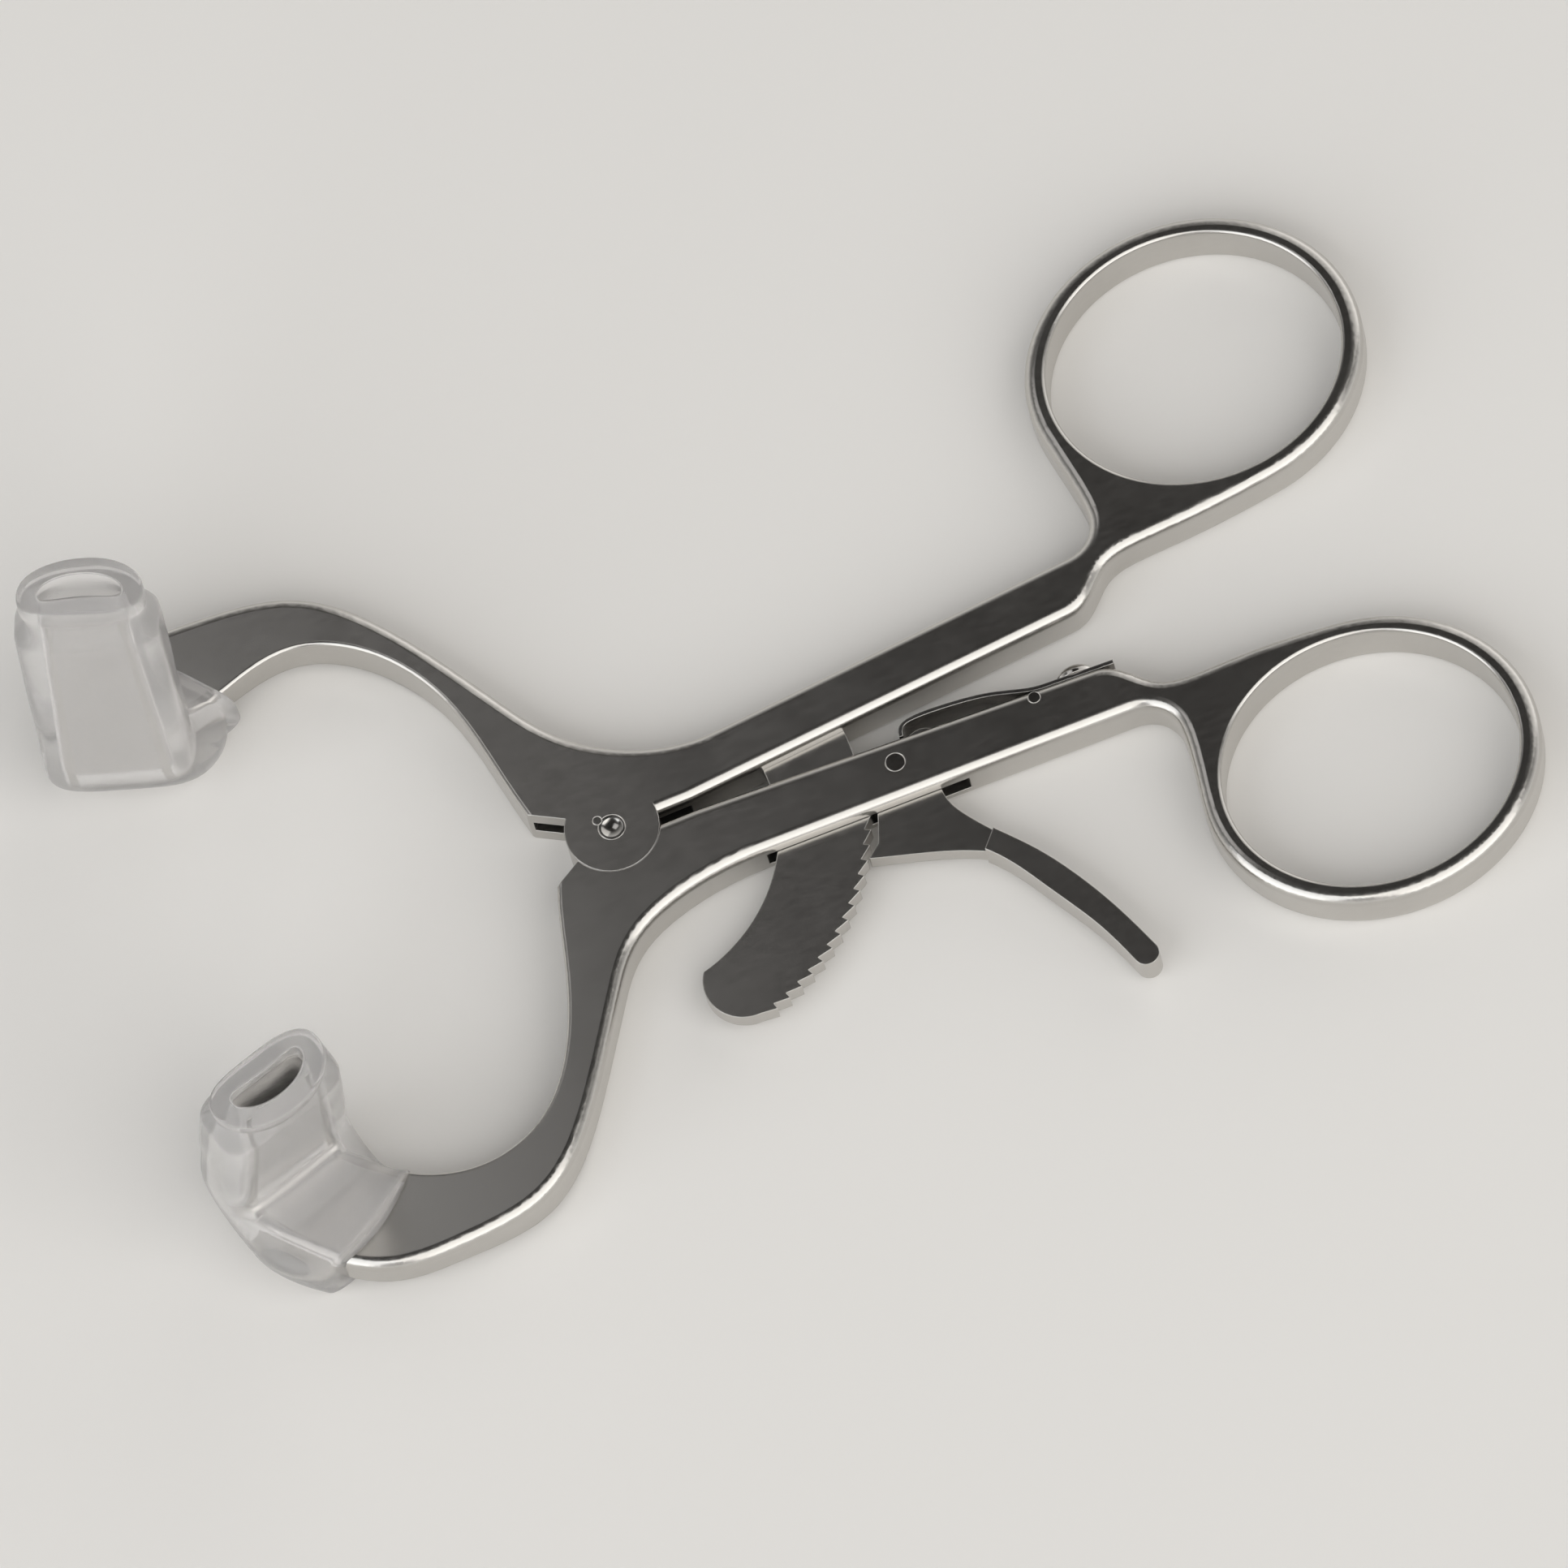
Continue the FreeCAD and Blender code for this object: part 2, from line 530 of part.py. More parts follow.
def ratchet_outline():
    """Closed plan of the bar: smooth inner arc, rounded end, saw teeth on the outside."""
    root, tip = size("ratchet_root_radius"), size("ratchet_root_radius") + size("tooth_depth")
    pitch = size("tooth_pitch")
    first = size("pawl_nose_angle") + (size("held_tooth") - 0.08) * pitch
    socket, end = size("ratchet_socket_angle"), size("ratchet_end_angle")
    width = size("ratchet_width")
    inner = [polar(root - width * 1.03, socket), polar(root - width * 0.96, (socket + end) / 2),
             polar(root - width * 0.82, end)]
    teeth = [polar(root, socket)]
    for number in range(int(size("tooth_count"))):
        angle = first - number * pitch
        teeth.append(polar(root, angle))
        teeth.append(polar(tip, angle - 0.03 * pitch))
    last = polar(root, first - size("tooth_count") * pitch)
    teeth.append(last)
    edges = [arc_about(plan(0, 0), root, first, socket)]
    for start, finish in zip(teeth[1:], teeth[2:]):
        edges.append(segment(start, finish))
    bulge = polar(root - width * 0.45, end - 0.8 * pitch)
    edges.append(Part.Arc(last, bulge, inner[2]))
    edges.append(Part.Arc(inner[2], inner[1], inner[0]))
    edges.append(segment(inner[0], teeth[0]))
    return edges


def build_ratchet_bar():
    body = new_body("ratchet_bar")
    outline = sketch_on(body, "ratchet_plan", ratchet_outline())
    lift(outline, "(Sizes.plate_thickness - Sizes.ratchet_thickness) / 2")
    pad(body, "ratchet_pad", outline, "Sizes.ratchet_thickness")
    return body


def pawl_pin():
    """Axis of the pawl, set out from the teeth that its nose holds."""
    return polar(size("ratchet_root_radius") + size("pawl_pin_stand"), size("pawl_pin_angle"))


def pawl_point(share_x, share_y):
    """Point of the pawl as shares of its swing and drop from the pin."""
    return pawl_pin() + plan(share_x * size("pawl_swing"), -share_y * size("pawl_drop"))


def pawl_outline():
    """Two closed plans that meet in a line: the thin root in the slot and the thicker thumb lever."""
    pin, hub, lobe = pawl_pin(), size("pawl_hub_radius"), size("pawl_lobe_radius")
    tip = size("ratchet_root_radius") + size("tooth_depth")
    gap, nose_angle = size("pawl_rest_gap"), size("pawl_nose_angle")
    nose = polar(tip + gap, nose_angle)
    flank = polar(tip + 0.65 + gap, nose_angle + size("tooth_pitch"))
    shoulder = polar(tip + 0.5 + gap, nose_angle + 2.6 * size("tooth_pitch"))
    low_cut, high_cut = pawl_point(0.29, 0.395), pawl_point(0.385, 0.335)
    lobe_centre = pin + plan(lobe * 1.75, lobe * 0.62)
    low_root = spline([nose, pawl_point(-0.16, 0.30), pawl_point(0.1, 0.335), low_cut])
    high_root = spline([high_cut, pawl_point(0.29, 0.265), pawl_point(0.20, 0.19),
                        pawl_point(0.19, 0.11), pawl_point(0.24, 0.04),
                        pin + plan(lobe * 2.6, lobe * 0.2), lobe_centre + plan(lobe, 0)])
    crown = arc_about(lobe_centre, lobe, 0, 115)
    back = spline([crown.EndPoint, crown.EndPoint + plan(-0.9, -0.42) * lobe,
                   pin + plan(-0.2 * hub, hub), pin + plan(-0.75 * hub, 0.85 * hub),
                   pin + plan(-1.02 * hub, 0.1 * hub), pin + plan(-1.1 * hub, -0.6 * hub), shoulder])
    root = [low_root, segment(low_cut, high_cut), high_root, crown, back,
            segment(shoulder, flank), segment(flank, nose)]
    low_tail = spline([low_cut, pawl_point(0.40, 0.46), pawl_point(0.53, 0.60),
                       pawl_point(0.70, 0.76), pawl_point(0.78, 0.86), pawl_point(0.85, 0.975)])
    high_tail = spline([pawl_point(1.0, 0.95), pawl_point(0.93, 0.84), pawl_point(0.83, 0.70),
                        pawl_point(0.62, 0.49), pawl_point(0.50, 0.41), high_cut])
    thumb = Part.Arc(pawl_point(0.85, 0.975), pawl_point(0.94, 1.0), pawl_point(1.0, 0.95))
    tail = [low_tail, thumb, high_tail, segment(high_cut, low_cut)]
    return root, tail


def build_release_pawl():
    """Pawl with its nose beside the teeth, a heel lobe under the spring and a long thumb lever."""
    body = new_body("release_pawl")
    root, tail = pawl_outline()
    root_plan = sketch_on(body, "pawl_root_plan", root)
    lift(root_plan, "(Sizes.plate_thickness - Sizes.ratchet_thickness) / 2")
    pad(body, "pawl_root", root_plan, "Sizes.ratchet_thickness")
    tail_plan = sketch_on(body, "pawl_tail_plan", tail)
    lift(tail_plan, "(Sizes.plate_thickness - Sizes.pawl_tail_thickness) / 2")
    pad(body, "pawl_tail", tail_plan, "Sizes.pawl_tail_thickness")
    bore = circle_on(body, "pawl_bore_plan", pawl_pin(), "pawl_pin_radius", "Sizes.joint_clearance")
    pocket(body, "pawl_bore", bore, "Sizes.plate_thickness", True)
    return body


# Leaf spring and its screw, seated on the inner edge of the lower handle.


def inner_edge(half, x):
    """Point of a handle's straight inner edge at a place along the midline."""
    way = toward(half.inner_root, half.inner_end)
    return half.inner_root + way * ((x - half.inner_root.x) / way.x)


def spring_seat(half):
    """Frame under the spring screw: X along the handle's inner edge, Y away from the handle."""
    way = toward(half.inner_root, half.inner_end)
    foot = inner_edge(half, size("spring_screw_x"))
    angle = math.degrees(math.atan2(way.y, way.x))
    return Placement(foot + Vector(0, 0, MID), Rotation(Vector(0, 0, 1), angle))


def side_pin_centre(half):
    return inner_edge(half, size("side_pin_x")) - plan(0, size("side_pin_inset"))


def build_leaf_spring(half):
    """Bent strip: flat under its screw, arched over the pawl's lobe, curled down at its free end."""
    body = new_body("leaf_spring")
    way = toward(half.inner_root, half.inner_end)
    normal = plan(-way.y, way.x)
    rise, strip = size("spring_rise") - size("spring_thickness"), size("spring_thickness")
    tip_x = pawl_pin().x + size("spring_tip_beyond_pin")
    flat_x, end_x = size("spring_screw_x") - 1.5 * size("spring_head_radius"), size("spring_end_x")
    span = flat_x - tip_x

    def over(share, height):
        return inner_edge(half, tip_x + share * span) + normal * height

    under = [over(0.02, 0.1 * rise), over(0.02, 0.85 * rise), over(0.1, 1.1 * rise), over(0.3, 1.12 * rise),
             over(0.6, 0.95 * rise), over(0.8, 0.35 * rise), over(0.92, 0), over(1, 0)]
    above = [over(1, strip), over(0.93, strip), over(0.8, 0.35 * rise + strip), over(0.6, 0.95 * rise + strip),
             over(0.3, 1.12 * rise + strip), over(0.07, 1.12 * rise + strip),
             over(-0.01, 0.85 * rise), over(-0.01, 0.1 * rise)]
    end_under, end_above = inner_edge(half, end_x), inner_edge(half, end_x) + normal * strip
    outline = [spline(under), segment(under[-1], end_under), segment(end_under, end_above),
               segment(end_above, above[0]), spline(above), segment(above[-1], under[0])]
    section = sketch_on(body, "spring_section", outline)
    lift(section, "(Sizes.plate_thickness - Sizes.spring_width) / 2")
    pad(body, "spring_strip", section, "Sizes.spring_width")
    hole = sketch_on(body, "spring_hole_plan",
                     [Part.Circle(plan(0, 0), Vector(0, 0, 1), size("spring_screw_radius"))],
                     spring_seat(half) * Placement(Vector(0, 0, 0), Rotation(Vector(1, 0, 0), 90)))
    cut = body.newObject("PartDesign::Pocket", "spring_hole")
    cut.Profile = hole
    cut.Midplane = True
    cut.setExpression("Length", "4 * Sizes.spring_thickness")
    body.Tip = cut
    return body


def build_spring_screw(half):
    """Screw with a domed head that clamps the spring."""
    body = new_body("spring_screw")
    shank, length = size("spring_screw_radius"), size("spring_screw_length")
    head, height, strip = size("spring_head_radius"), size("spring_head_height"), size("spring_thickness")
    crown = 0.75 * height
    dome_radius = (head * head + crown * crown) / (2 * crown)
    dome_centre = plan(0, strip + height - dome_radius)
    rim_angle = math.degrees(math.asin(1 - crown / dome_radius))
    corners = [plan(0, -length), plan(shank, -length), plan(shank, strip), plan(head, strip),
               dome_centre + polar(dome_radius, rim_angle), dome_centre + polar(dome_radius, 90)]
    edges = [segment(corners[i], corners[i + 1]) for i in range(4)]
    edges.append(arc_about(dome_centre, dome_radius, rim_angle, 90))
    edges.append(segment(corners[5], corners[0]))
    section = sketch_on(body, "spring_screw_section", edges, spring_seat(half))
    turned = body.newObject("PartDesign::Revolution", "spring_screw_turned")
    turned.Profile = section
    turned.ReferenceAxis = (section, ["V_Axis"])
    turned.Angle = 360
    body.Tip = turned
    return body


# Soft sleeves that are pulled over the blades.


def build_sleeve(name, half, near_corner, far_corner):
    """Sleeve round one blade: heel along the arm, bend, slab with a neck and a lip ring.

    The heel's two end corners are shares of the sleeve's half width and of the heel's length.
    """
    body = new_body(name + "_form")
    side, wall = size("sleeve_side_wall"), size("sleeve_wall")
    axis_height = T + size("bend_radius")
    inner, outer = size("bend_radius") - wall, axis_height - size("arm_lift") + wall
    half_width = size("blade_width") / 2 + side
    corner = 0.36 * (outer - inner)

    mirror = -half.side
    heel = size("sleeve_heel_length")
    near = plan(mirror * near_corner[0] * half_width, -near_corner[1] * heel)
    far = plan(mirror * far_corner[0] * half_width, -far_corner[1] * heel)
    near_root, far_root = plan(mirror * half_width, 0), plan(-mirror * half_width, 0)
    edges = [spline([near_root, near_root + plan(0, near.y * 0.5), near]), segment(near, far),
             spline([far, far_root + plan(0, far.y * 0.5), far_root]), segment(far_root, near_root)]
    heel_plan = sketch_on(body, name + "_heel_plan", edges, half.jaw())
    pad(body, name + "_heel", heel_plan, "Sizes.plate_thickness + Sizes.sleeve_wall")
    upright = Placement(Vector(0, 0, 0), Rotation(Vector(1, 0, 0), 90))
    low = [plan(-half_width, 0), plan(-half_width, -outer + corner), plan(-half_width + corner, -outer),
           plan(half_width - corner, -outer), plan(half_width, -outer + corner), plan(half_width, 0)]
    section_edges = [segment(low[0], low[1]),
                     arc_about(plan(-half_width + corner, -outer + corner), corner, 180, 270),
                     segment(low[2], low[3]),
                     arc_about(plan(half_width - corner, -outer + corner), corner, 270, 360),
                     segment(low[4], low[5]), segment(low[5], low[0])]
    section = sketch_on(body, name + "_bend_section", section_edges, half.jaw(axis_height) * upright)
    bend = body.newObject("PartDesign::Revolution", name + "_bend")
    bend.Profile = section
    bend.ReferenceAxis = (section, ["H_Axis"])
    bend.setExpression("Angle", "90 + Sizes.blade_lean")
    body.Tip = bend

    lean = size("blade_lean")
    top = size("blade_length") + size("sleeve_lip_over")
    neck_end = top - size("sleeve_lip_height")
    shoulder = top - size("sleeve_neck_length") - size("sleeve_lip_height")
    middle, half_depth = (inner + outer) / 2, (outer - inner) / 2
    tip_half = size("blade_tip_width") / 2
    tip_depth = size("blade_tip_thickness") / 2
    stations = [(0, half_width, half_depth, corner), (shoulder, half_width * 0.96, half_depth, corner),
                (shoulder + 0.4 * size("sleeve_neck_length"), tip_half + 0.75 * side, tip_depth + 0.9 * wall, corner),
                (neck_end, tip_half + 0.75 * side, tip_depth + 0.9 * wall, corner)]
    sketches = []
    for number, (along, across, deep, rounding) in enumerate(stations):
        shape = rounded_box(-across, middle - deep, across, middle + deep, min(rounding, 0.95 * deep))
        sketches.append(sketch_on(body, "%s_slab_%d" % (name, number), shape,
                                  half.jaw(axis_height, lean, along)))
    slab = body.newObject("PartDesign::AdditiveLoft", name + "_slab")
    slab.Profile = sketches[0]
    slab.Sections = sketches[1:]
    slab.Ruled = True
    body.Tip = slab
    lip_across, lip_deep = tip_half + side, tip_depth + 1.15 * wall
    lip = sketch_on(body, name + "_lip_plan",
                    rounded_box(-lip_across, middle - lip_deep, lip_across, middle + lip_deep, 0.95 * lip_deep),
                    half.jaw(axis_height, lean, neck_end))
    pad(body, name + "_lip", lip, "Sizes.sleeve_lip_height")
    mouth = sketch_on(body, name + "_mouth_plan",
                      box_edges(-tip_half, middle - tip_depth, tip_half, middle + tip_depth),
                      half.jaw(axis_height, lean, size("blade_length")))
    pocket(body, name + "_mouth", mouth, "Sizes.sleeve_lip_over", True)
    return body


def fit_sleeve(name, form, half_body):
    """Cut the metal of a half out of the sleeve's form."""
    cut = doc.addObject("Part::Cut", name)
    cut.Label = name
    cut.Base = form
    cut.Tool = half_body
    return cut


upper = Half(1, (size("upper_inner_root_y"), size("upper_inner_end_y")),
             (size("upper_root_width"), size("upper_end_width")),
             size("upper_reach"), size("upper_rise"), size("upper_jaw_angle"))
lower = Half(-1, (size("lower_inner_root_y"), size("lower_inner_end_y")),
             (size("lower_root_width"), size("lower_end_width")),
             size("lower_reach"), size("lower_drop"), size("lower_jaw_angle"))

upper_half = build_upper_half(upper)
lower_half = build_lower_half(lower)
upper_form = build_sleeve("upper_sleeve", upper, (1.4, 0.41), (-0.1, 0.9))
lower_form = build_sleeve("lower_sleeve", lower, (1.22, 0.63), (-0.58, 1.0))
doc.recompute()
nodes = [
    upper_half, lower_half, build_pivot_screw(),
    round_pin("pivot_lock_pin", lock_pin_centre(), "lock_pin_radius",
              "Sizes.plate_thickness - Sizes.lock_pin_depth", "Sizes.lock_pin_depth"),
    build_ratchet_bar(), build_release_pawl(),
    round_pin("pawl_pin", pawl_pin(), "pawl_pin_radius", "0", "Sizes.plate_thickness"),
    build_leaf_spring(lower), build_spring_screw(lower),
    round_pin("spring_side_pin", side_pin_centre(lower), "side_pin_radius",
              "Sizes.plate_thickness - Sizes.side_pin_depth", "Sizes.side_pin_depth"),
    fit_sleeve("upper_sleeve", upper_form, upper_half),
    fit_sleeve("lower_sleeve", lower_form, lower_half),
]
doc.recompute()

for item in doc.Objects:
    if "Invalid" in item.State or "Error" in item.State:
        raise RuntimeError("%s failed: %s" % (item.Name, item.State))
for node in nodes:
    shape = node.Shape
    if shape.isNull() or not shape.isValid() or not shape.Solids:
        raise RuntimeError("%s has no valid solid" % node.Label)

os.makedirs("parts", exist_ok=True)
for node in nodes:
    node.Shape.exportStep(os.path.join("parts", node.Label + ".step"))
    box = node.Shape.BoundBox
    print("%-16s %d solid, %8.2f mm3, x %.1f..%.1f y %.1f..%.1f z %.2f..%.2f"
          % (node.Label, len(node.Shape.Solids), node.Shape.Volume,
             box.XMin, box.XMax, box.YMin, box.YMax, box.ZMin, box.ZMax))
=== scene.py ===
"""Looks of a scissor-type mouth gag with a ratchet: satin steel, polished screws and soft sleeves.

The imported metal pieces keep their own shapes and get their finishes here. The soft sleeves are modelled
here as smooth moulded rubber and stand for the plain sleeves of the frame.
"""

import json
import logging
import math
from dataclasses import dataclass, field
from enum import Enum
from typing import Sequence

import bpy
from mathutils import Matrix, Vector, noise

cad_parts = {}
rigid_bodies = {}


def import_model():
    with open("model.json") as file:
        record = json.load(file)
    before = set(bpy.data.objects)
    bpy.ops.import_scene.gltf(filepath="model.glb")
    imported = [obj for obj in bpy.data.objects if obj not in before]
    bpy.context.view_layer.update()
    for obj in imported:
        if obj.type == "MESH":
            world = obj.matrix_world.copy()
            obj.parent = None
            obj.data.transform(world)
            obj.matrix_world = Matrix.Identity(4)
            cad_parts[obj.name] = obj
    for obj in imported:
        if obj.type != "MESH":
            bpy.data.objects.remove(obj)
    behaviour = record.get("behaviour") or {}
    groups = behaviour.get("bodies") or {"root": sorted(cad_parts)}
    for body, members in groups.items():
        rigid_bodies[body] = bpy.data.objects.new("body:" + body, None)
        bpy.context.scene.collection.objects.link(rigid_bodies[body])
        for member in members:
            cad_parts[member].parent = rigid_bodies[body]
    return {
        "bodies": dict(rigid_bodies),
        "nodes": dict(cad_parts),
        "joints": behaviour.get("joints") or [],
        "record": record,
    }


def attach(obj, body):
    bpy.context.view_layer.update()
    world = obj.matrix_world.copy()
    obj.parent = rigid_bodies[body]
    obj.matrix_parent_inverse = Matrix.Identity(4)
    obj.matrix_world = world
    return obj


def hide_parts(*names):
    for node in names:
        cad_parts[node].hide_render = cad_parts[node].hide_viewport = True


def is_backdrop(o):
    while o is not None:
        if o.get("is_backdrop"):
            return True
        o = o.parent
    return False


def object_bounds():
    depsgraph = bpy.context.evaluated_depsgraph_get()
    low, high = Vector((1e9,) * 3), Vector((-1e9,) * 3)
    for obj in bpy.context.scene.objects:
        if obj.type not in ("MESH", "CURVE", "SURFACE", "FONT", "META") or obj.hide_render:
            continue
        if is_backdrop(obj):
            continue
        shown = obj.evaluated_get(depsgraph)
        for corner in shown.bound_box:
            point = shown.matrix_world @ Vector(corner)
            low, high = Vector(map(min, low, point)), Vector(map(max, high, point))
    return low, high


LOG = logging.getLogger("mouth_gag")
MM = 0.001
WANDER_SEED = 7
ARM_TILT = -90.0

Colour = tuple[float, float, float, float]
Poles = tuple[tuple[float, float], tuple[float, float], tuple[float, float]]
Ring = list[Vector]


class Slot(Enum):
    """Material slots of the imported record."""

    SATIN = "satin_steel"
    POLISHED = "polished_steel"
    SPRING = "spring_steel"
    SLEEVE = "soft_sleeve"


class Side(Enum):
    """The two halves, with the sign of their side of the midline."""

    UPPER = 1
    LOWER = -1


class Part(Enum):
    """Parts of a sleeve's outer surface that the crease's fillet shapes."""

    HEEL = "heel"
    BEND = "bend"
    SLAB = "slab"


class SocketKind(Enum):
    """Kinds of sockets on a node group."""

    COLOUR = "NodeSocketColor"
    NUMBER = "NodeSocketFloat"
    VECTOR = "NodeSocketVector"


class MixKind(Enum):
    """Kinds of the Mix node, each with the places of its two inputs and of its result."""

    FLOAT = (2, 3, 0)
    RGBA = (6, 7, 2)


# Shader nodes.


class NodeWork:
    """A node tree, with short ways to add the nodes that the effects and finishes need."""

    def __init__(self, tree: bpy.types.NodeTree) -> None:
        """Take the tree that the nodes go into."""
        self.tree = tree

    def feed(self, value: object, socket: bpy.types.NodeSocket) -> None:
        """Give an input its value.

        Args:
            value: Socket to link, or plain number or colour to set.
            socket: The input.
        """
        if isinstance(value, bpy.types.NodeSocket):
            self.tree.links.new(value, socket)
        else:
            socket.default_value = value

    def math(self, operation: str, first: object, second: object) -> bpy.types.NodeSocket:
        """Add a maths node.

        Args:
            operation: Operation of the node.
            first: Socket or number for the first input.
            second: Socket or number for the second input.

        Returns:
            The node's result.
        """
        node = self.tree.nodes.new("ShaderNodeMath")
        node.operation = operation
        self.feed(first, node.inputs[0])
        self.feed(second, node.inputs[1])
        return node.outputs[0]

    def noise(self, scale: object, detail: float,
              stretch: tuple[float, float, float] = (1, 1, 1)) -> bpy.types.NodeSocket:
        """Add noise in object space.

        Args:
            scale: Socket or number for the noise's scale, in grains per metre.
            detail: Detail of the noise.
            stretch: Scale of the coordinates along each axis.

        Returns:
            The noise value.
        """
        place = self.tree.nodes.new("ShaderNodeTexCoord")
        mapping = self.tree.nodes.new("ShaderNodeMapping")
        grains = self.tree.nodes.new("ShaderNodeTexNoise")
        self.feed(stretch, mapping.inputs["Scale"])
        self.feed(place.outputs["Object"], mapping.inputs["Vector"])
        self.feed(mapping.outputs["Vector"], grains.inputs["Vector"])
        self.feed(scale, grains.inputs["Scale"])
        self.feed(detail, grains.inputs["Detail"])
        return grains.outputs["Fac"]

    def spread(self, value: bpy.types.NodeSocket, low: object, high: object,
               start: float = 0.3, end: float = 0.7) -> bpy.types.NodeSocket:
        """Map a value from a band onto a range. The band that noise mostly fills is the usual one.

        Args:
            value: The value to map.
            low: Socket or number for the result at the band's start.
            high: Socket or number for the result at the band's end.
            start: Start of the band.
            end: End of the band.

        Returns:
            The mapped value.
        """
        node = self.tree.nodes.new("ShaderNodeMapRange")
        self.feed(value, node.inputs["Value"])
        self.feed(start, node.inputs["From Min"])
        self.feed(end, node.inputs["From Max"])
        self.feed(low, node.inputs["To Min"])
        self.feed(high, node.inputs["To Max"])
        return node.outputs["Result"]

    def mix(self, kind: MixKind, factor: bpy.types.NodeSocket, first: object,
            second: object) -> bpy.types.NodeSocket:
        """Mix two colours or two numbers.

        Args:
            kind: Kind of what is mixed.
            factor: Share of the second one.
            first: Socket or plain value.
            second: Socket or plain value.

        Returns:
            The mixture.
        """
        node = self.tree.nodes.new("ShaderNodeMix")
        node.data_type = kind.name
        first_place, second_place, result_place = kind.value
        self.feed(factor, node.inputs[0])
        self.feed(first, node.inputs[first_place])
        self.feed(second, node.inputs[second_place])
        return node.outputs[result_place]

    def bump(self, strength: float, depth: float, height: bpy.types.NodeSocket) -> bpy.types.Node:
        """Add a bump.

        Args:
            strength: Strength of the bump.
            depth: Its depth in metres.
            height: The height that it follows.

        Returns:
            The bump node.
        """
        node = self.tree.nodes.new("ShaderNodeBump")
        self.feed(strength, node.inputs["Strength"])
        self.feed(depth, node.inputs["Distance"])
        self.feed(height, node.inputs["Height"])
        return node

    def effect(self, group: bpy.types.NodeTree, values: dict[str, object]) -> bpy.types.Node:
        """Place a shared effect.

        Args:
            group: The effect's node group.
            values: Values of the group's inputs by name.

        Returns:
            The group node.
        """
        node = self.tree.nodes.new("ShaderNodeGroup")
        node.node_tree = group
        for name, value in values.items():
            self.feed(value, node.inputs[name])
        return node


class EffectGroup(NodeWork):
    """A shader node group with named inputs and outputs, built once and placed in many materials."""

    def __init__(self, name: str) -> None:
        """Start an empty group with this name."""
        super().__init__(bpy.data.node_groups.new(name, "ShaderNodeTree"))
        self.entry = self.tree.nodes.new("NodeGroupInput")
        self.exit = self.tree.nodes.new("NodeGroupOutput")

    def add_input(self, name: str, kind: SocketKind, default: float | Colour) -> bpy.types.NodeSocket:
        """Give the group a named input.

        Args:
            name: Name of the input.
            kind: Its kind.
            default: Value that it starts with.

        Returns:
            The socket that brings the input's value into the group.
        """
        socket = self.tree.interface.new_socket(name=name, in_out="INPUT", socket_type=kind.value)
        socket.default_value = default
        return self.entry.outputs[name]

    def add_output(self, name: str, kind: SocketKind, value: bpy.types.NodeSocket) -> None:
        """Give the group a named output.

        Args:
            name: Name of the output.
            kind: Its kind.
            value: What it puts out.
        """
        self.tree.interface.new_socket(name=name, in_out="OUTPUT", socket_type=kind.value)
        self.feed(value, self.exit.inputs[name])


def build_grain_group() -> bpy.types.NodeTree:
    """Make the fine grain of finished metal.

    Returns:
        Group with the inputs Tone, Shade, Grain, Smooth and Rough, and the outputs Color, Roughness
        and Height.
    """
    group = EffectGroup("MetalGrain")
    tone = group.add_input("Tone", SocketKind.COLOUR, (0.6, 0.6, 0.6, 1))
    shade = group.add_input("Shade", SocketKind.COLOUR, (0.5, 0.5, 0.5, 1))
    grain = group.add_input("Grain", SocketKind.NUMBER, 3000.0)
    smooth = group.add_input("Smooth", SocketKind.NUMBER, 0.2)
    rough = group.add_input("Rough", SocketKind.NUMBER, 0.3)
    fine = group.noise(grain, detail=3.0, stretch=(0.35, 1.0, 1.0))
    cloud = group.noise(140.0, detail=2.0)
    fine_share = 0.55
    both = group.math("ADD", group.math("MULTIPLY", fine, fine_share),
                      group.math("MULTIPLY", cloud, 1 - fine_share))
    lightness = group.spread(both, 0.0, 1.0, start=0.35, end=0.65)
    group.add_output("Color", SocketKind.COLOUR, group.mix(MixKind.RGBA, lightness, shade, tone))
    group.add_output("Roughness", SocketKind.NUMBER, group.spread(both, smooth, rough))
    group.add_output("Height", SocketKind.NUMBER, fine)
    return group.tree


def build_wear_and_highlight_group() -> bpy.types.NodeTree:
    """Make the mask of sharp edges that are painted lighter, partly as polishing wear and partly as a
    painted highlight.

    Returns:
        Group with the input Strength and the outputs Mask and Normal. Normal is the surface's own,
        softened over its sharp edges.
    """
    group = EffectGroup("EdgeWear")
    strength = group.add_input("Strength", SocketKind.NUMBER, 3.0)
    soft = group.tree.nodes.new("ShaderNodeBevel")
    soft.samples = 10
    group.feed(0.14 * MM, soft.inputs["Radius"])
    flat = group.tree.nodes.new("ShaderNodeNewGeometry")
    likeness = group.tree.nodes.new("ShaderNodeVectorMath")
    likeness.operation = "DOT_PRODUCT"
    group.feed(soft.outputs["Normal"], likeness.inputs[0])
    group.feed(flat.outputs["Normal"], likeness.inputs[1])
    bent = group.math("SUBTRACT", 1.0, likeness.outputs["Value"])
    patches = group.spread(group.noise(700.0, detail=2.0), 0.4, 1.0)
    mask = group.math("MULTIPLY", group.math("MULTIPLY", bent, strength), patches)
    group.add_output("Mask", SocketKind.NUMBER, group.math("MINIMUM", mask, 1.0))
    group.add_output("Normal", SocketKind.VECTOR, soft.outputs["Normal"])
    return group.tree


# Finishes.


def start_material(name: str) -> tuple[bpy.types.Material, bpy.types.Node]:
    """Start a material.

    Args:
        name: Name of the material.

    Returns:
        The material and its shader.
    """
    material = bpy.data.materials.new(name)
    material.use_nodes = True
    return material, material.node_tree.nodes["Principled BSDF"]


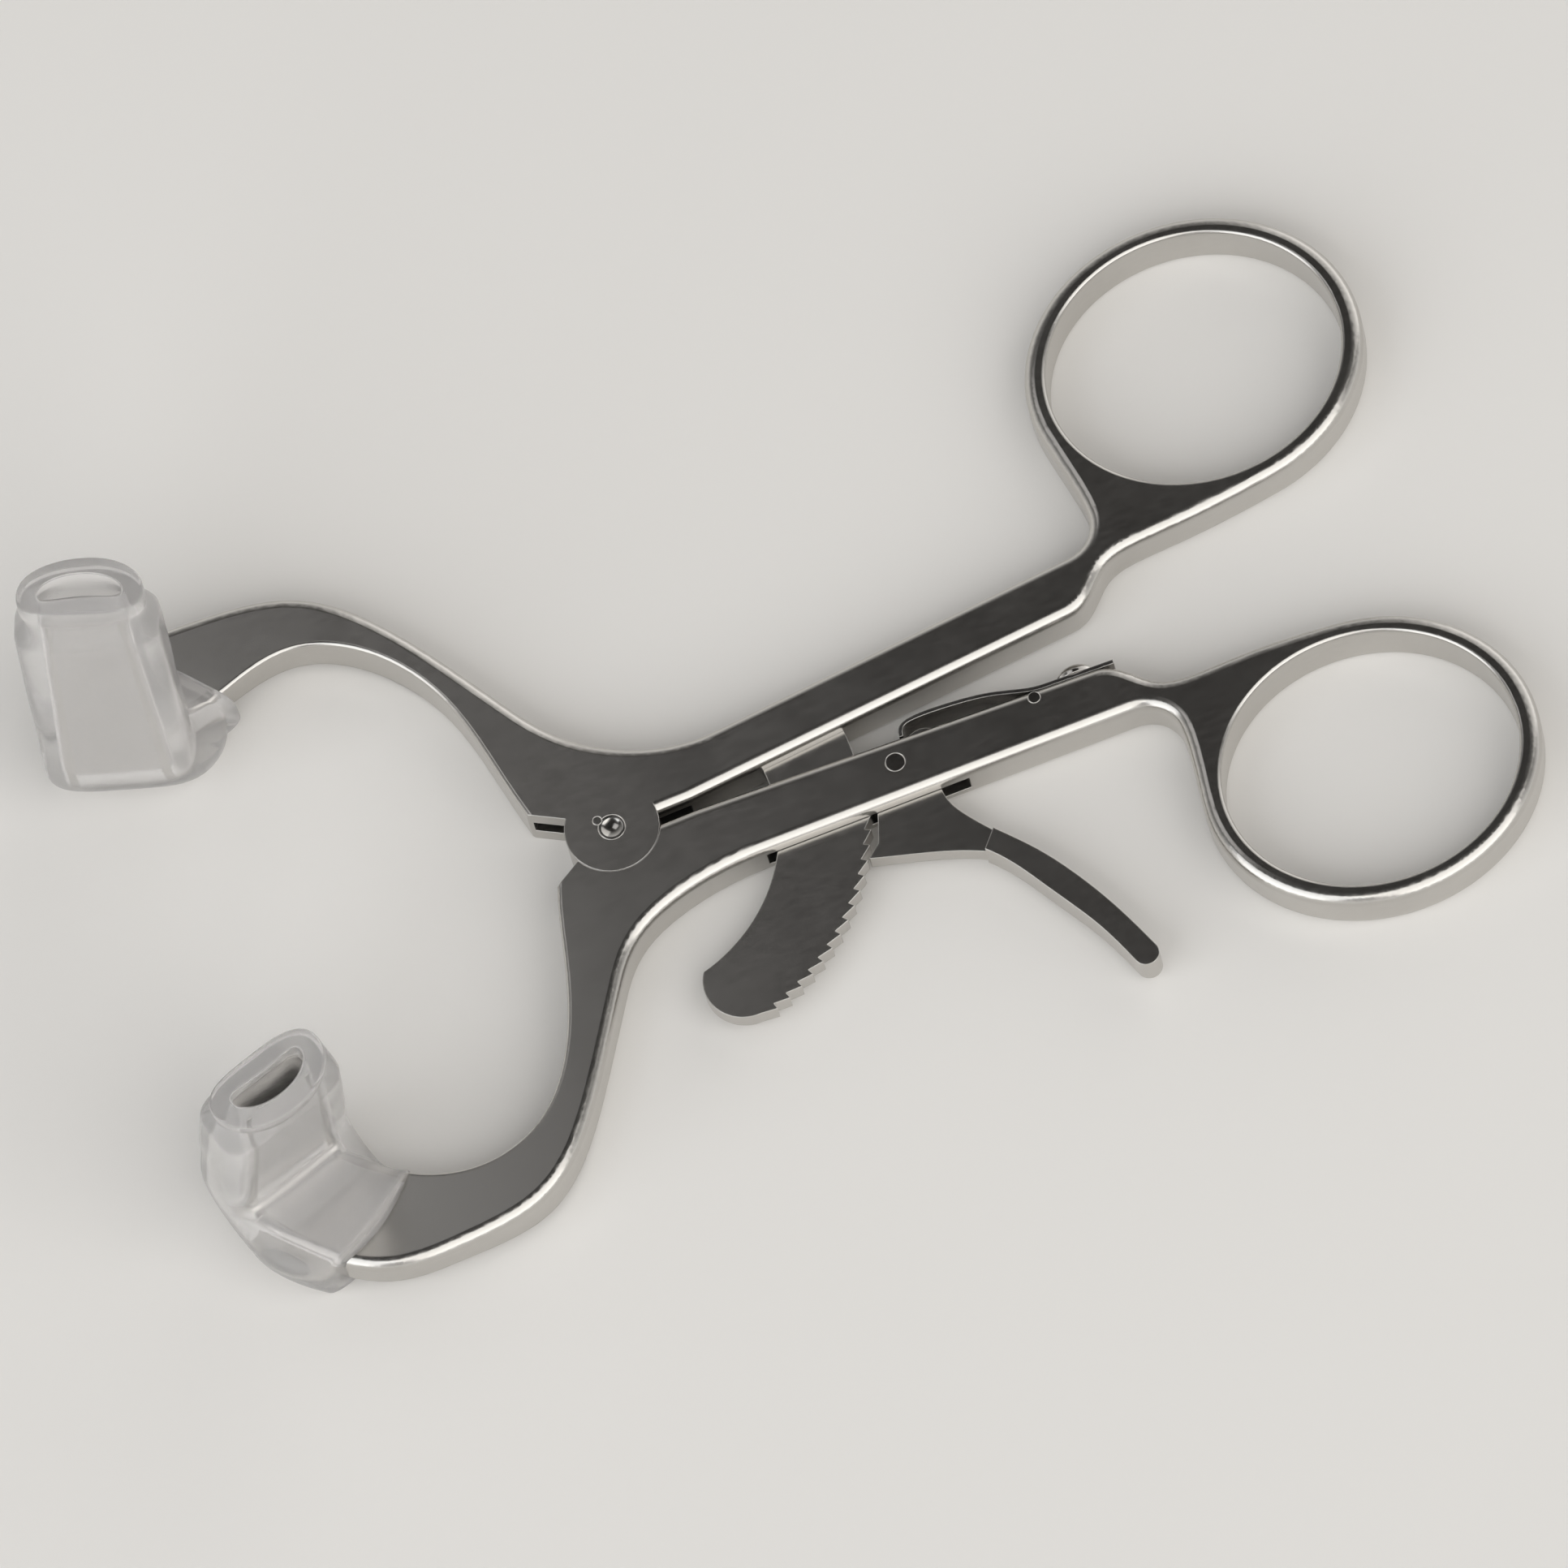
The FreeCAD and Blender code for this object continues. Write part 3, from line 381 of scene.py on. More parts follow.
@dataclass(frozen=True)
class SteelFinish:
    """Metal whose grain, tone and polish change finely over the surface."""

    name: str
    tone: Colour
    shade: Colour
    grain: float
    smooth: float
    rough: float
    bump: float
    edge_polish: float
    # Lighter tone of the edges: partly polishing wear, partly a painted highlight along the edges.
    wear_and_highlight_tone: Colour = (0.66, 0.64, 0.61, 1)
    wear_and_highlight_strength: float = 2.5
    grain_depth: float = 0.02 * MM

    def build(self, grain: bpy.types.NodeTree, wear_and_highlight: bpy.types.NodeTree) -> bpy.types.Material:
        """Make the material.

        Args:
            grain: Shared grain effect.
            wear_and_highlight: Shared edge effect.

        Returns:
            The material.
        """
        material, shader = start_material(self.name)
        work = NodeWork(material.node_tree)
        grains = work.effect(grain, {"Tone": self.tone, "Shade": self.shade, "Grain": self.grain,
                                     "Smooth": self.smooth, "Rough": self.rough}).outputs
        edges = work.effect(wear_and_highlight, {"Strength": self.wear_and_highlight_strength}).outputs
        bump = work.bump(self.bump, self.grain_depth, grains["Height"])
        work.feed(edges["Normal"], bump.inputs["Normal"])
        work.feed(1.0, shader.inputs["Metallic"])
        # The edge mask paints the edges' base colour lighter: partly wear, partly a painted highlight of
        # rounded edges.
        work.feed(work.mix(MixKind.RGBA, edges["Mask"], grains["Color"], self.wear_and_highlight_tone),
                  shader.inputs["Base Color"])
        work.feed(work.mix(MixKind.FLOAT, edges["Mask"], grains["Roughness"], self.edge_polish),
                  shader.inputs["Roughness"])
        work.feed(bump.outputs["Normal"], shader.inputs["Normal"])
        return material


@dataclass(frozen=True)
class RubberFinish:
    """Milky soft rubber that lets the metal inside show through.

    The roughness falls by up to gloss_range and rises by up to haze_range over the surface.
    """

    name: str
    tone: Colour
    shade: Colour
    roughness: float
    clearness: float
    refraction: float = 1.25
    gloss_range: float = 0.05
    haze_range: float = 0.07
    cloud_scale: float = 160.0
    skin_scale: float = 420.0
    skin_bump: float = 0.05
    skin_depth: float = 0.10 * MM

    def build(self) -> bpy.types.Material:
        """Make the material."""
        material, shader = start_material(self.name)
        work = NodeWork(material.node_tree)
        cloud = work.noise(self.cloud_scale, detail=3.0)
        haze = work.spread(cloud, self.roughness - self.gloss_range, self.roughness + self.haze_range,
                           start=0.0, end=1.0)
        bump = work.bump(self.skin_bump, self.skin_depth, work.noise(self.skin_scale, detail=2.0))
        work.feed(self.refraction, shader.inputs["IOR"])
        work.feed(self.clearness, shader.inputs["Transmission Weight"])
        work.feed(work.mix(MixKind.RGBA, cloud, self.shade, self.tone), shader.inputs["Base Color"])
        work.feed(haze, shader.inputs["Roughness"])
        work.feed(bump.outputs["Normal"], shader.inputs["Normal"])
        return material


@dataclass
class Metalwork:
    """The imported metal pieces, each with the finish of its own surface."""

    pieces: dict[Slot, tuple[str, ...]] = field(default_factory=lambda: {
        Slot.SATIN: ("upper_half", "lower_half", "ratchet_bar", "release_pawl"),
        Slot.POLISHED: ("pivot_screw", "pivot_lock_pin", "pawl_pin", "spring_screw", "spring_side_pin"),
        Slot.SPRING: ("leaf_spring",),
    })
    finishes: dict[Slot, SteelFinish] = field(default_factory=lambda: {
        Slot.SATIN: SteelFinish(
            "SatinSteel", tone=(0.60, 0.585, 0.56, 1), shade=(0.565, 0.55, 0.525, 1),
            grain=2400.0, smooth=0.21, rough=0.26, bump=0.03, edge_polish=0.36),
        Slot.POLISHED: SteelFinish(
            "PolishedSteel", tone=(0.68, 0.665, 0.64, 1), shade=(0.61, 0.595, 0.57, 1),
            grain=3600.0, smooth=0.12, rough=0.20, bump=0.10, edge_polish=0.12),
        Slot.SPRING: SteelFinish(
            "SpringSteel", tone=(0.54, 0.53, 0.515, 1), shade=(0.46, 0.45, 0.44, 1),
            grain=3600.0, smooth=0.18, rough=0.26, bump=0.15, edge_polish=0.18),
    })

    def dress(self, nodes: dict[str, bpy.types.Object]) -> None:
        """Give each packed metal piece its finish.

        Args:
            nodes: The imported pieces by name.
        """
        grain, wear_and_highlight = build_grain_group(), build_wear_and_highlight_group()
        for slot, names in self.pieces.items():
            material = self.finishes[slot].build(grain, wear_and_highlight)
            for name in names:
                piece = nodes[name]
                for place in piece.material_slots:
                    place.material = material
                LOG.info("%s wears %s", name, material.name)


# Curves of the soft sleeves.


def squircle(half_x: float, half_y: float, power: float, count: int) -> list[tuple[float, float]]:
    """Points of a rounded box, from an oval at power 2 to a box at high powers.

    Args:
        half_x: Half of the width.
        half_y: Half of the depth.
        power: Exponent of the curve.
        count: Number of points.

    Returns:
        The points, anticlockwise from the +X side.
    """
    points = []
    for number in range(count):
        angle = 2 * math.pi * number / count
        c, s = math.cos(angle), math.sin(angle)
        reach = (abs(c) ** power + abs(s) ** power) ** (-1 / power)
        points.append((half_x * reach * c, half_y * reach * s))
    return points


def between(start: float, end: float, share: float) -> float:
    """Value at a share of the way from start to end."""
    return start + (end - start) * share


def eased(share: float) -> float:
    """Share of the way that starts and ends gently."""
    return share * share * (3 - 2 * share)


def shares(steps: int, first: int = 0) -> list[float]:
    """Even shares of a way, from the first step's to the whole way."""
    return [number / steps for number in range(first, steps + 1)]


def bow(points: Sequence[Vector], share: float) -> Vector:
    """Point of the curve that three poles draw."""
    a, b, c = points
    return a * (1 - share) ** 2 + b * 2 * share * (1 - share) + c * share ** 2


# Soft sleeves. All their lengths are in millimetres.


@dataclass(frozen=True)
class Edges:
    """Two edges of a sleeve's heel or of the arm inside it, drawn by three poles each.

    The poles run from the bend to the heel's end, with X toward the pivot's side: near is the edge
    toward the pivot, far the other one.
    """

    near: Poles
    far: Poles


@dataclass(frozen=True)
class BladeRoom:
    """Room inside a sleeve for the steel blade, the bend and the arm."""

    length: float = 22.0
    half_width: float = 5.2
    tip_half_width: float = 4.1
    inner: float = 1.6
    outer: float = 5.0
    tip_half_depth: float = 1.3
    play: float = 0.03
    tip_gap: float = 0.4
    power: float = 8.0
    arm_power: float = 9.0
    blade_steps: int = 8
    bend_steps: int = 14
    arm_steps: int = 9

    @property
    def half_depth(self) -> float:
        """Half of the blade's thickness at the bend."""
        return (self.outer - self.inner) / 2


@dataclass(frozen=True)
class Lip:
    """Neck, lip ring and mouth at a sleeve's open end.

    A power is the exponent of a ring's curve, and a bow is how far a ring's middle bows outward. foot
    holds shares of the way from the neck's size to the lip's, each with its height above the lip's base.
    throat holds shares of the way from the rim to the blade's tip. top_inset is counted in radii of the
    lip's edge, and rim_spread in radii of the mouth's rim.
    """

    top: float = 25.4
    height: float = 2.0
    half_width: float = 6.1
    half_depth: float = 3.37
    power: float = 2.4
    edge: float = 0.28
    edge_bow: float = 0.7
    edge_steps: int = 5
    top_inset: float = 1.4
    top_bow: float = 0.75
    foot: tuple[tuple[float, float], ...] = ((0.25, -0.08), (0.7, 0.0), (1.0, 0.2), (1.0, 0.9))
    shoulder_drop: float = 3.4
    neck_gap: float = 0.2
    neck_half_width: float = 5.8
    neck_half_depth: float = 3.1
    neck_power: float = 2.5
    neck_bow: float = 0.6
    neck_steps: int = 9
    mouth_half_width: float = 4.0
    mouth_half_depth: float = 1.3
    mouth_power: float = 2.6
    mouth_bow: float = 0.8
    rim: float = 0.18
    rim_steps: int = 4
    rim_spread: float = 1.6
    throat: tuple[float, ...] = (0.35, 0.7, 1.0)
    throat_power: float = 6.0

    @property
    def base(self) -> float:
        """Distance along the blade at which the lip ring starts."""
        return self.top - self.height

    @property
    def shoulder(self) -> float:
        """Distance along the blade at which the slab starts to narrow to the neck."""
        return self.base - self.shoulder_drop


@dataclass(frozen=True)
class Sleeve:
    """Soft moulded sleeve over one blade: heel along the arm, bend, slab, shoulders, neck and lip ring.

    heel_end holds shares of the way to the heel's end, each with its share of the heel's depth, and
    rounds the end off. crease_room is the most that the fillet may take of a short heel. The nub sits on
    the bend at nub_tilt, and swells away from the sleeve's middle at core_tilt.
    """

    name: str
    node: str
    body: str
    side: Side
    reach: float
    rise: float
    jaw_angle: float
    heel: Edges
    arm: Edges
    nub: bool
    crease_reach: float
    end_bow: float
    seed: float
    blade: BladeRoom = BladeRoom()
    lip: Lip = Lip()
    bend_height: float = 6.8
    lean: float = 11.5
    inner: float = -0.2
    outer: float = 6.8
    half_width: float = 7.2
    taper: float = 0.04
    power: float = 4.0
    crease_room: float = 0.72
    heel_end: tuple[tuple[float, float], ...] = ((1.0, 0.78), (0.996, 0.90), (0.985, 0.965), (0.97, 1.0))
    heel_steps: int = 15
    bend_steps: int = 20
    slab_steps: int = 20
    drift: float = 0.16
    drift_scale: float = 0.16
    nub_swell: float = 0.42
    nub_radius: float = 0.55
    nub_tilt: float = -60.0
    core_tilt: float = -35.0
    count: int = 96

    @property
    def middle(self) -> float:
        """Middle of the sleeve's depth from the bend axis."""
        return (self.inner + self.outer) / 2

    @property
    def half_depth(self) -> float:
        """Half of the sleeve's depth."""
        return (self.outer - self.inner) / 2

    def jaw(self, tilt: float, along: float = 0.0) -> Matrix:
        """Frame on the bend axis, tilted about it and moved along the blade.

        Args:
            tilt: Tilt in degrees, 0 for an upright blade and ARM_TILT for the arm.
            along: Distance along the tilted blade.

        Returns:
            The frame, with X across the blade and Y inward.
        """
        angle, sign = math.radians(self.jaw_angle), -self.side.value
        across = Vector((math.cos(angle), math.sin(angle), 0)) * sign
        inward = Vector((-math.sin(angle), math.cos(angle), 0)) * sign
        frame = Matrix((across, inward, Vector((0, 0, 1)))).transposed().to_4x4()
        frame.translation = Vector((-self.reach, self.side.value * self.rise, self.bend_height))
        return frame @ Matrix.Rotation(math.radians(tilt), 4, "X") @ Matrix.Translation((0, 0, along))

    def mirrored(self, poles: Poles) -> list[Vector]:
        """Poles of an edge, turned to this sleeve's side."""
        return [Vector((-self.side.value * x, y, 0)) for x, y in poles]

    def heel_length(self, across: float) -> float:
        """Length of the heel's top at a place across the jaw, from -1 to 1."""
        share = (1 - self.side.value * across) / 2
        return -between(self.heel.far[-1][1], self.heel.near[-1][1], share)

    def crease(self, across: float, part: Part, place: float) -> Vector:
        """How far the concave fillet between the heel's top and the slab moves the surface's crease side.

        The fillet is the path of a ball that rolls along the crease. It shrinks where the heel is short.

        Args:
            across: Place across the jaw, from -1 to 1.
            part: Part of the sleeve that the ring belongs to.
            place: The heel's Y, the share of the bend or the distance along the slab.

        Returns:
            The move in the upright jaw's frame.
        """
        lean, top = math.radians(self.lean), -self.inner
        slab_way = Vector((0, -math.sin(lean), math.cos(lean)))
        corner = Vector((0, self.inner / math.cos(lean) - top * math.tan(lean), top))
        length = self.heel_length(across)
        reach = min(self.crease_reach, self.crease_room * (length + corner.y))
        radius = reach * math.tan((math.pi / 2 - lean) / 2)
        start = reach - corner.y
        if part is Part.HEEL:
            return Vector((0, -start * max(0.0, 1 + place / length), 0))
        if part is Part.SLAB:
            first = reach + corner.dot(slab_way)
            return slab_way * first * max(0.0, 1 - place / self.lip.shoulder)
        ball = Vector((0, -start, top + radius))
        turn = between(-math.pi / 2, lean, place)
        way = Vector((0, math.cos(turn), math.sin(turn)))
        return ball + way * radius - way * self.inner

    def cross_ring(self, tilt: float, along: float, half_x: float, half_y: float, power: float,
                   curve: float = 0.0, flare: float = 0.0, part: Part | None = None,
                   place: float = 0.0) -> Ring:
        """One closed ring of points across the blade.

        Args:
            tilt: Tilt of the ring's plane about the bend axis, in degrees.
            along: Distance along the tilted blade.
            half_x: Half of the ring's width.
            half_y: Half of its depth.
            power: Exponent of the ring's curve.
            curve: How far the ring's middle bows outward, as on the curved mouth.
            flare: How much wider the ring is on the pivot's side.
            part: Part of the outer surface, where the crease's fillet moves the ring.
            place: The ring's place in that part.

        Returns:
            The ring's points.
        """
        frame, upright = self.jaw(tilt, along), self.jaw(0).to_3x3()
        points = []
        for x, y in squircle(half_x, half_y, power, self.count):
            sag = curve * (0.5 - (x / half_x) ** 2)
            toward_pivot = max(0.0, -self.side.value * x / half_x)
            wide = x - self.side.value * flare * toward_pivot
            point = frame @ Vector((wide, self.middle + y - sag, 0))
            if part is not None:
                point += upright @ self.crease(x / half_x, part, place) * ((1 - y / half_y) / 2)
            points.append(point)
        return points

    def blade_ring(self, along: float, half_x: float, half_y: float, power: float,
                   curve: float = 0.0) -> Ring:
        """One closed ring across the leaning blade. The arguments are those of cross_ring."""
        return self.cross_ring(self.lean, along, half_x, half_y, power, curve)

    def arm_ring(self, edges: Edges, share: float, depth: float, power: float, outer: bool = False) -> Ring:
        """One closed ring of points across the arm.

        Args:
            edges: The edges between which the ring lies.
            share: Place from the bend at 0 to the heel's end at 1.
            depth: Half of the ring's height.
            power: Exponent of the ring's curve.
            outer: Whether the ring is part of the outer surface, with the crease's fillet.

        Returns:
            The ring's points.
        """
        frame = self.jaw(0)
        near, far = bow(self.mirrored(edges.near), share), bow(self.mirrored(edges.far), share)
        points = []
        for x, y in squircle(1, depth, power, self.count):
            place = far.lerp(near, (1 - self.side.value * x) / 2)
            spot = Vector((place.x, place.y - self.end_bow * share ** 3 * (1 - x * x), -self.middle - y))
            if outer:
                spot += self.crease(x, Part.HEEL, place.y) * ((1 - y / depth) / 2)
            points.append(frame @ spot)
        return points

    def heel_rings(self) -> list[Ring]:
        """Rings of the outer surface over the arm, from the heel's rounded end to the bend."""
        rings = [self.arm_ring(self.heel, share, self.half_depth * shrink, self.power, True)
                 for share, shrink in self.heel_end]
        full = self.heel_end[-1][0]
        for number in range(1, self.heel_steps):
            share = full * (1 - number / self.heel_steps)
            rings.append(self.arm_ring(self.heel, share, self.half_depth, self.power, True))
        return rings

    def slab_rings(self) -> list[Ring]:
        """Rings of the outer surface round the bend and up the slab to its shoulder."""
        flare = self.heel.near[0][0] - self.half_width
        rings = []
        for share in shares(self.bend_steps):
            rings.append(self.cross_ring(
                between(ARM_TILT, self.lean, share), 0, self.half_width, self.half_depth, self.power,
                flare=flare * (1 - eased(share)), part=Part.BEND, place=share))
        for share in shares(self.slab_steps, first=1):
            along = self.lip.shoulder * share
            rings.append(self.cross_ring(
                self.lean, along, self.half_width * (1 - self.taper * share ** 2), self.half_depth,
                self.power, part=Part.SLAB, place=along))
        return rings

    def neck_rings(self) -> list[Ring]:
        """Rings of the outer surface from the shoulder to the lip's foot."""
        lip = self.lip
        rings = []
        for share in shares(lip.neck_steps, first=1):
            rings.append(self.blade_ring(
                between(lip.shoulder, lip.base - lip.neck_gap, share),
                between(self.half_width * (1 - self.taper), lip.neck_half_width, eased(share)),
                between(self.half_depth, lip.neck_half_depth, eased(share)),
                between(self.power, lip.neck_power, share), between(0, lip.neck_bow, share)))
        return rings

    def lip_rings(self) -> list[Ring]:
        """Rings of the lip, from its foot over its rounded edge to its flat top."""
        lip = self.lip
        more_width, more_depth = lip.half_width - lip.neck_half_width, lip.half_depth - lip.neck_half_depth
        rings = []
        for share, height in lip.foot:
            rings.append(self.blade_ring(
                lip.base + height, lip.neck_half_width + more_width * share,
                lip.neck_half_depth + more_depth * share, lip.power, lip.neck_bow))
        for share in shares(lip.edge_steps):
            angle = math.radians(90 * share)
            inset = lip.edge * (1 - math.cos(angle))
            rings.append(self.blade_ring(
                lip.top - lip.edge * (1 - math.sin(angle)), lip.half_width - inset,
                lip.half_depth - inset, lip.power, lip.edge_bow))
        inset = lip.top_inset * lip.edge
        rings.append(self.blade_ring(
            lip.top, lip.half_width - inset, lip.half_depth - inset, lip.power, lip.top_bow))
        return rings

    def mouth_rings(self) -> list[Ring]:
        """Rings of the mouth, from the lip's flat top over the rounded rim down to the blade's tip."""
        lip, blade = self.lip, self.blade
        wide = lip.rim_spread * lip.rim
        rings = [self.blade_ring(
            lip.top, lip.mouth_half_width + wide, lip.mouth_half_depth + wide, lip.mouth_power, lip.top_bow)]
        for share in shares(lip.rim_steps):
            angle = math.radians(90 * (1 - share))
            inset = lip.rim * (1 - math.cos(angle))
            rings.append(self.blade_ring(
                lip.top - lip.rim * (1 - math.sin(angle)), lip.mouth_half_width + lip.rim - inset,
                lip.mouth_half_depth + lip.rim - inset, lip.mouth_power, lip.mouth_bow))
        for share in lip.throat:
            rings.append(self.blade_ring(
                between(lip.top - lip.rim, blade.length + blade.tip_gap, share),
                between(lip.mouth_half_width, blade.tip_half_width + blade.play, share),
                between(lip.mouth_half_depth, blade.tip_half_depth + blade.play, share),
                between(lip.mouth_power, lip.throat_power, share),
                between(lip.mouth_bow, 0, eased(share))))
        return rings

    def inner_rings(self) -> list[Ring]:
        """Rings of the inner surface down the blade, round the bend and along the arm."""
        blade = self.blade
        half_width, half_depth = blade.half_width + blade.play, blade.half_depth + blade.play
        rings = []
        for share in shares(blade.blade_steps, first=1):
            rings.append(self.blade_ring(
                blade.length * (1 - share),
                between(blade.tip_half_width, blade.half_width, share) + blade.play,
                between(blade.tip_half_depth, blade.half_depth, share) + blade.play, blade.power))
        for share in shares(blade.bend_steps, first=1):
            rings.append(self.cross_ring(
                between(self.lean, ARM_TILT, share), 0, half_width, half_depth, blade.power))
        for share in shares(blade.arm_steps, first=1):
            rings.append(self.arm_ring(self.arm, share, half_depth, blade.arm_power))
        return rings

    def soften(self, points: list[Vector]) -> list[Vector]:
        """Let the moulded surface wander a little, and add the small nub on its mould line.

        Args:
            points: Points of the outer surface.

        Returns:
            The moved points, none of them under the floor.
        """
        noise.seed_set(WANDER_SEED)
        moved = []
        for point in points:
            wander = noise.noise_vector(point * self.drift_scale + Vector((self.seed, 0, 0)))
            place = point + wander * self.drift
            place.z = max(place.z, 0.0)
            moved.append(place)
        if self.nub:
            core = self.jaw(self.core_tilt) @ Vector((0, self.middle, 0))
            spot = self.jaw(self.nub_tilt) @ Vector((self.half_width, self.middle, 0))
            for number, point in enumerate(moved):
                swell = self.nub_swell * math.exp(-((point - spot).length / self.nub_radius) ** 2)
                moved[number] = point + (point - core).normalized() * swell
        return moved

    def skin(self, rows: int) -> list[tuple[int, int, int, int]]:
        """Faces between neighbouring rings. The last ring joins the first, at the heel's end.

        Args:
            rows: Number of rings.

        Returns:
            The numbers of each face's points.
        """
        faces = []
        for row in range(rows):
            here, beyond = row * self.count, (row + 1) % rows * self.count
            for column in range(self.count):
                following = (column + 1) % self.count
                faces.append((here + column, here + following, beyond + following, beyond + column))
        return faces

    def build(self, finish: bpy.types.Material) -> bpy.types.Object:
        """Make the sleeve, let it ride on its half and stand for the plain sleeve.

        Args:
            finish: Material of the sleeve.

        Returns:
            The sleeve.
        """
        outside = self.heel_rings() + self.slab_rings() + self.neck_rings() + self.lip_rings()
        inside = self.mouth_rings() + self.inner_rings()
        points = self.soften([point for ring in outside for point in ring])
        points += [point for ring in inside for point in ring]
        mesh = bpy.data.meshes.new(self.name)
        mesh.from_pydata([point * MM for point in points], [], self.skin(len(outside) + len(inside)))
        mesh.update()
        mesh.shade_smooth()
        mesh.materials.append(finish)
        piece = bpy.data.objects.new(self.name, mesh)
        bpy.context.scene.collection.objects.link(piece)
        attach(piece, self.body)
        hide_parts(self.node)
        return piece


@dataclass
class SleevePair:
    """Both soft sleeves and the rubber that they are moulded from."""

    finish: RubberFinish = RubberFinish(
        "MilkyRubber", tone=(0.94, 0.93, 0.925, 1), shade=(0.905, 0.897, 0.895, 1),
        roughness=0.20, clearness=0.77)
    upper: Sleeve = Sleeve(
        "upper_soft_sleeve", node="upper_sleeve", body="upper", side=Side.UPPER,
        reach=39.2, rise=29.3, jaw_angle=-20.0,
        heel=Edges(near=((9.9, 0.0), (10.9, -0.5), (11.1, -1.5)),
                   far=((-7.2, 0.0), (-7.2, -4.2), (-0.7, -8.5))),
        arm=Edges(near=((5.23, 0.0), (6.7, -0.4), (9.15, -2.35)),
                  far=((-5.23, 0.0), (-5.3, -4.4), (0.55, -8.35))),
        nub=False, crease_reach=2.6, end_bow=0.0, seed=3.0)
    lower: Sleeve = Sleeve(
        "lower_soft_sleeve", node="lower_sleeve", body="lower", side=Side.LOWER,
        reach=40.4, rise=22.1, jaw_angle=17.0,
        heel=Edges(near=((7.2, 0.0), (7.2, -3.0), (8.8, -6.0)),
                   far=((-7.2, 0.0), (-7.2, -4.8), (-4.2, -9.5))),
        arm=Edges(near=((5.23, 0.0), (6.2, -2.7), (8.7, -6.0)),
                  far=((-5.23, 0.0), (-4.9, -4.8), (-1.72, -9.5))),
        nub=True, crease_reach=6.0, end_bow=1.0, seed=11.0)

    def build(self) -> None:
        """Make both sleeves."""
        rubber = self.finish.build()
        for sleeve in (self.upper, self.lower):
            piece = sleeve.build(rubber)
            LOG.info("%s has %d faces", piece.name, len(piece.data.polygons))


# Camera, light and floor.


@dataclass(frozen=True)
class Lamp:
    """Soft square lamp that looks at the instrument, with angles in degrees and lengths in metres."""

    name: str
    azimuth: float
    elevation: float
    reach: float
    width: float
    power: float
    tint: tuple[float, float, float]

    def hang(self, aim: Vector) -> None:
        """Hang the lamp, looking at a point."""
        turn = Matrix.Rotation(math.radians(self.azimuth), 3, "Z")
        lift = Matrix.Rotation(math.radians(-self.elevation), 3, "Y")
        way = turn @ lift @ Vector((1, 0, 0))
        light = bpy.data.lights.new(self.name, "AREA")
        light.shape = "SQUARE"
        light.size = self.width
        light.energy = self.power
        light.color = self.tint
        lamp = bpy.data.objects.new(self.name, light)
        lamp.location = aim + way * self.reach
        lamp.rotation_euler = way.to_track_quat("Z", "Y").to_euler()
        bpy.context.scene.collection.objects.link(lamp)


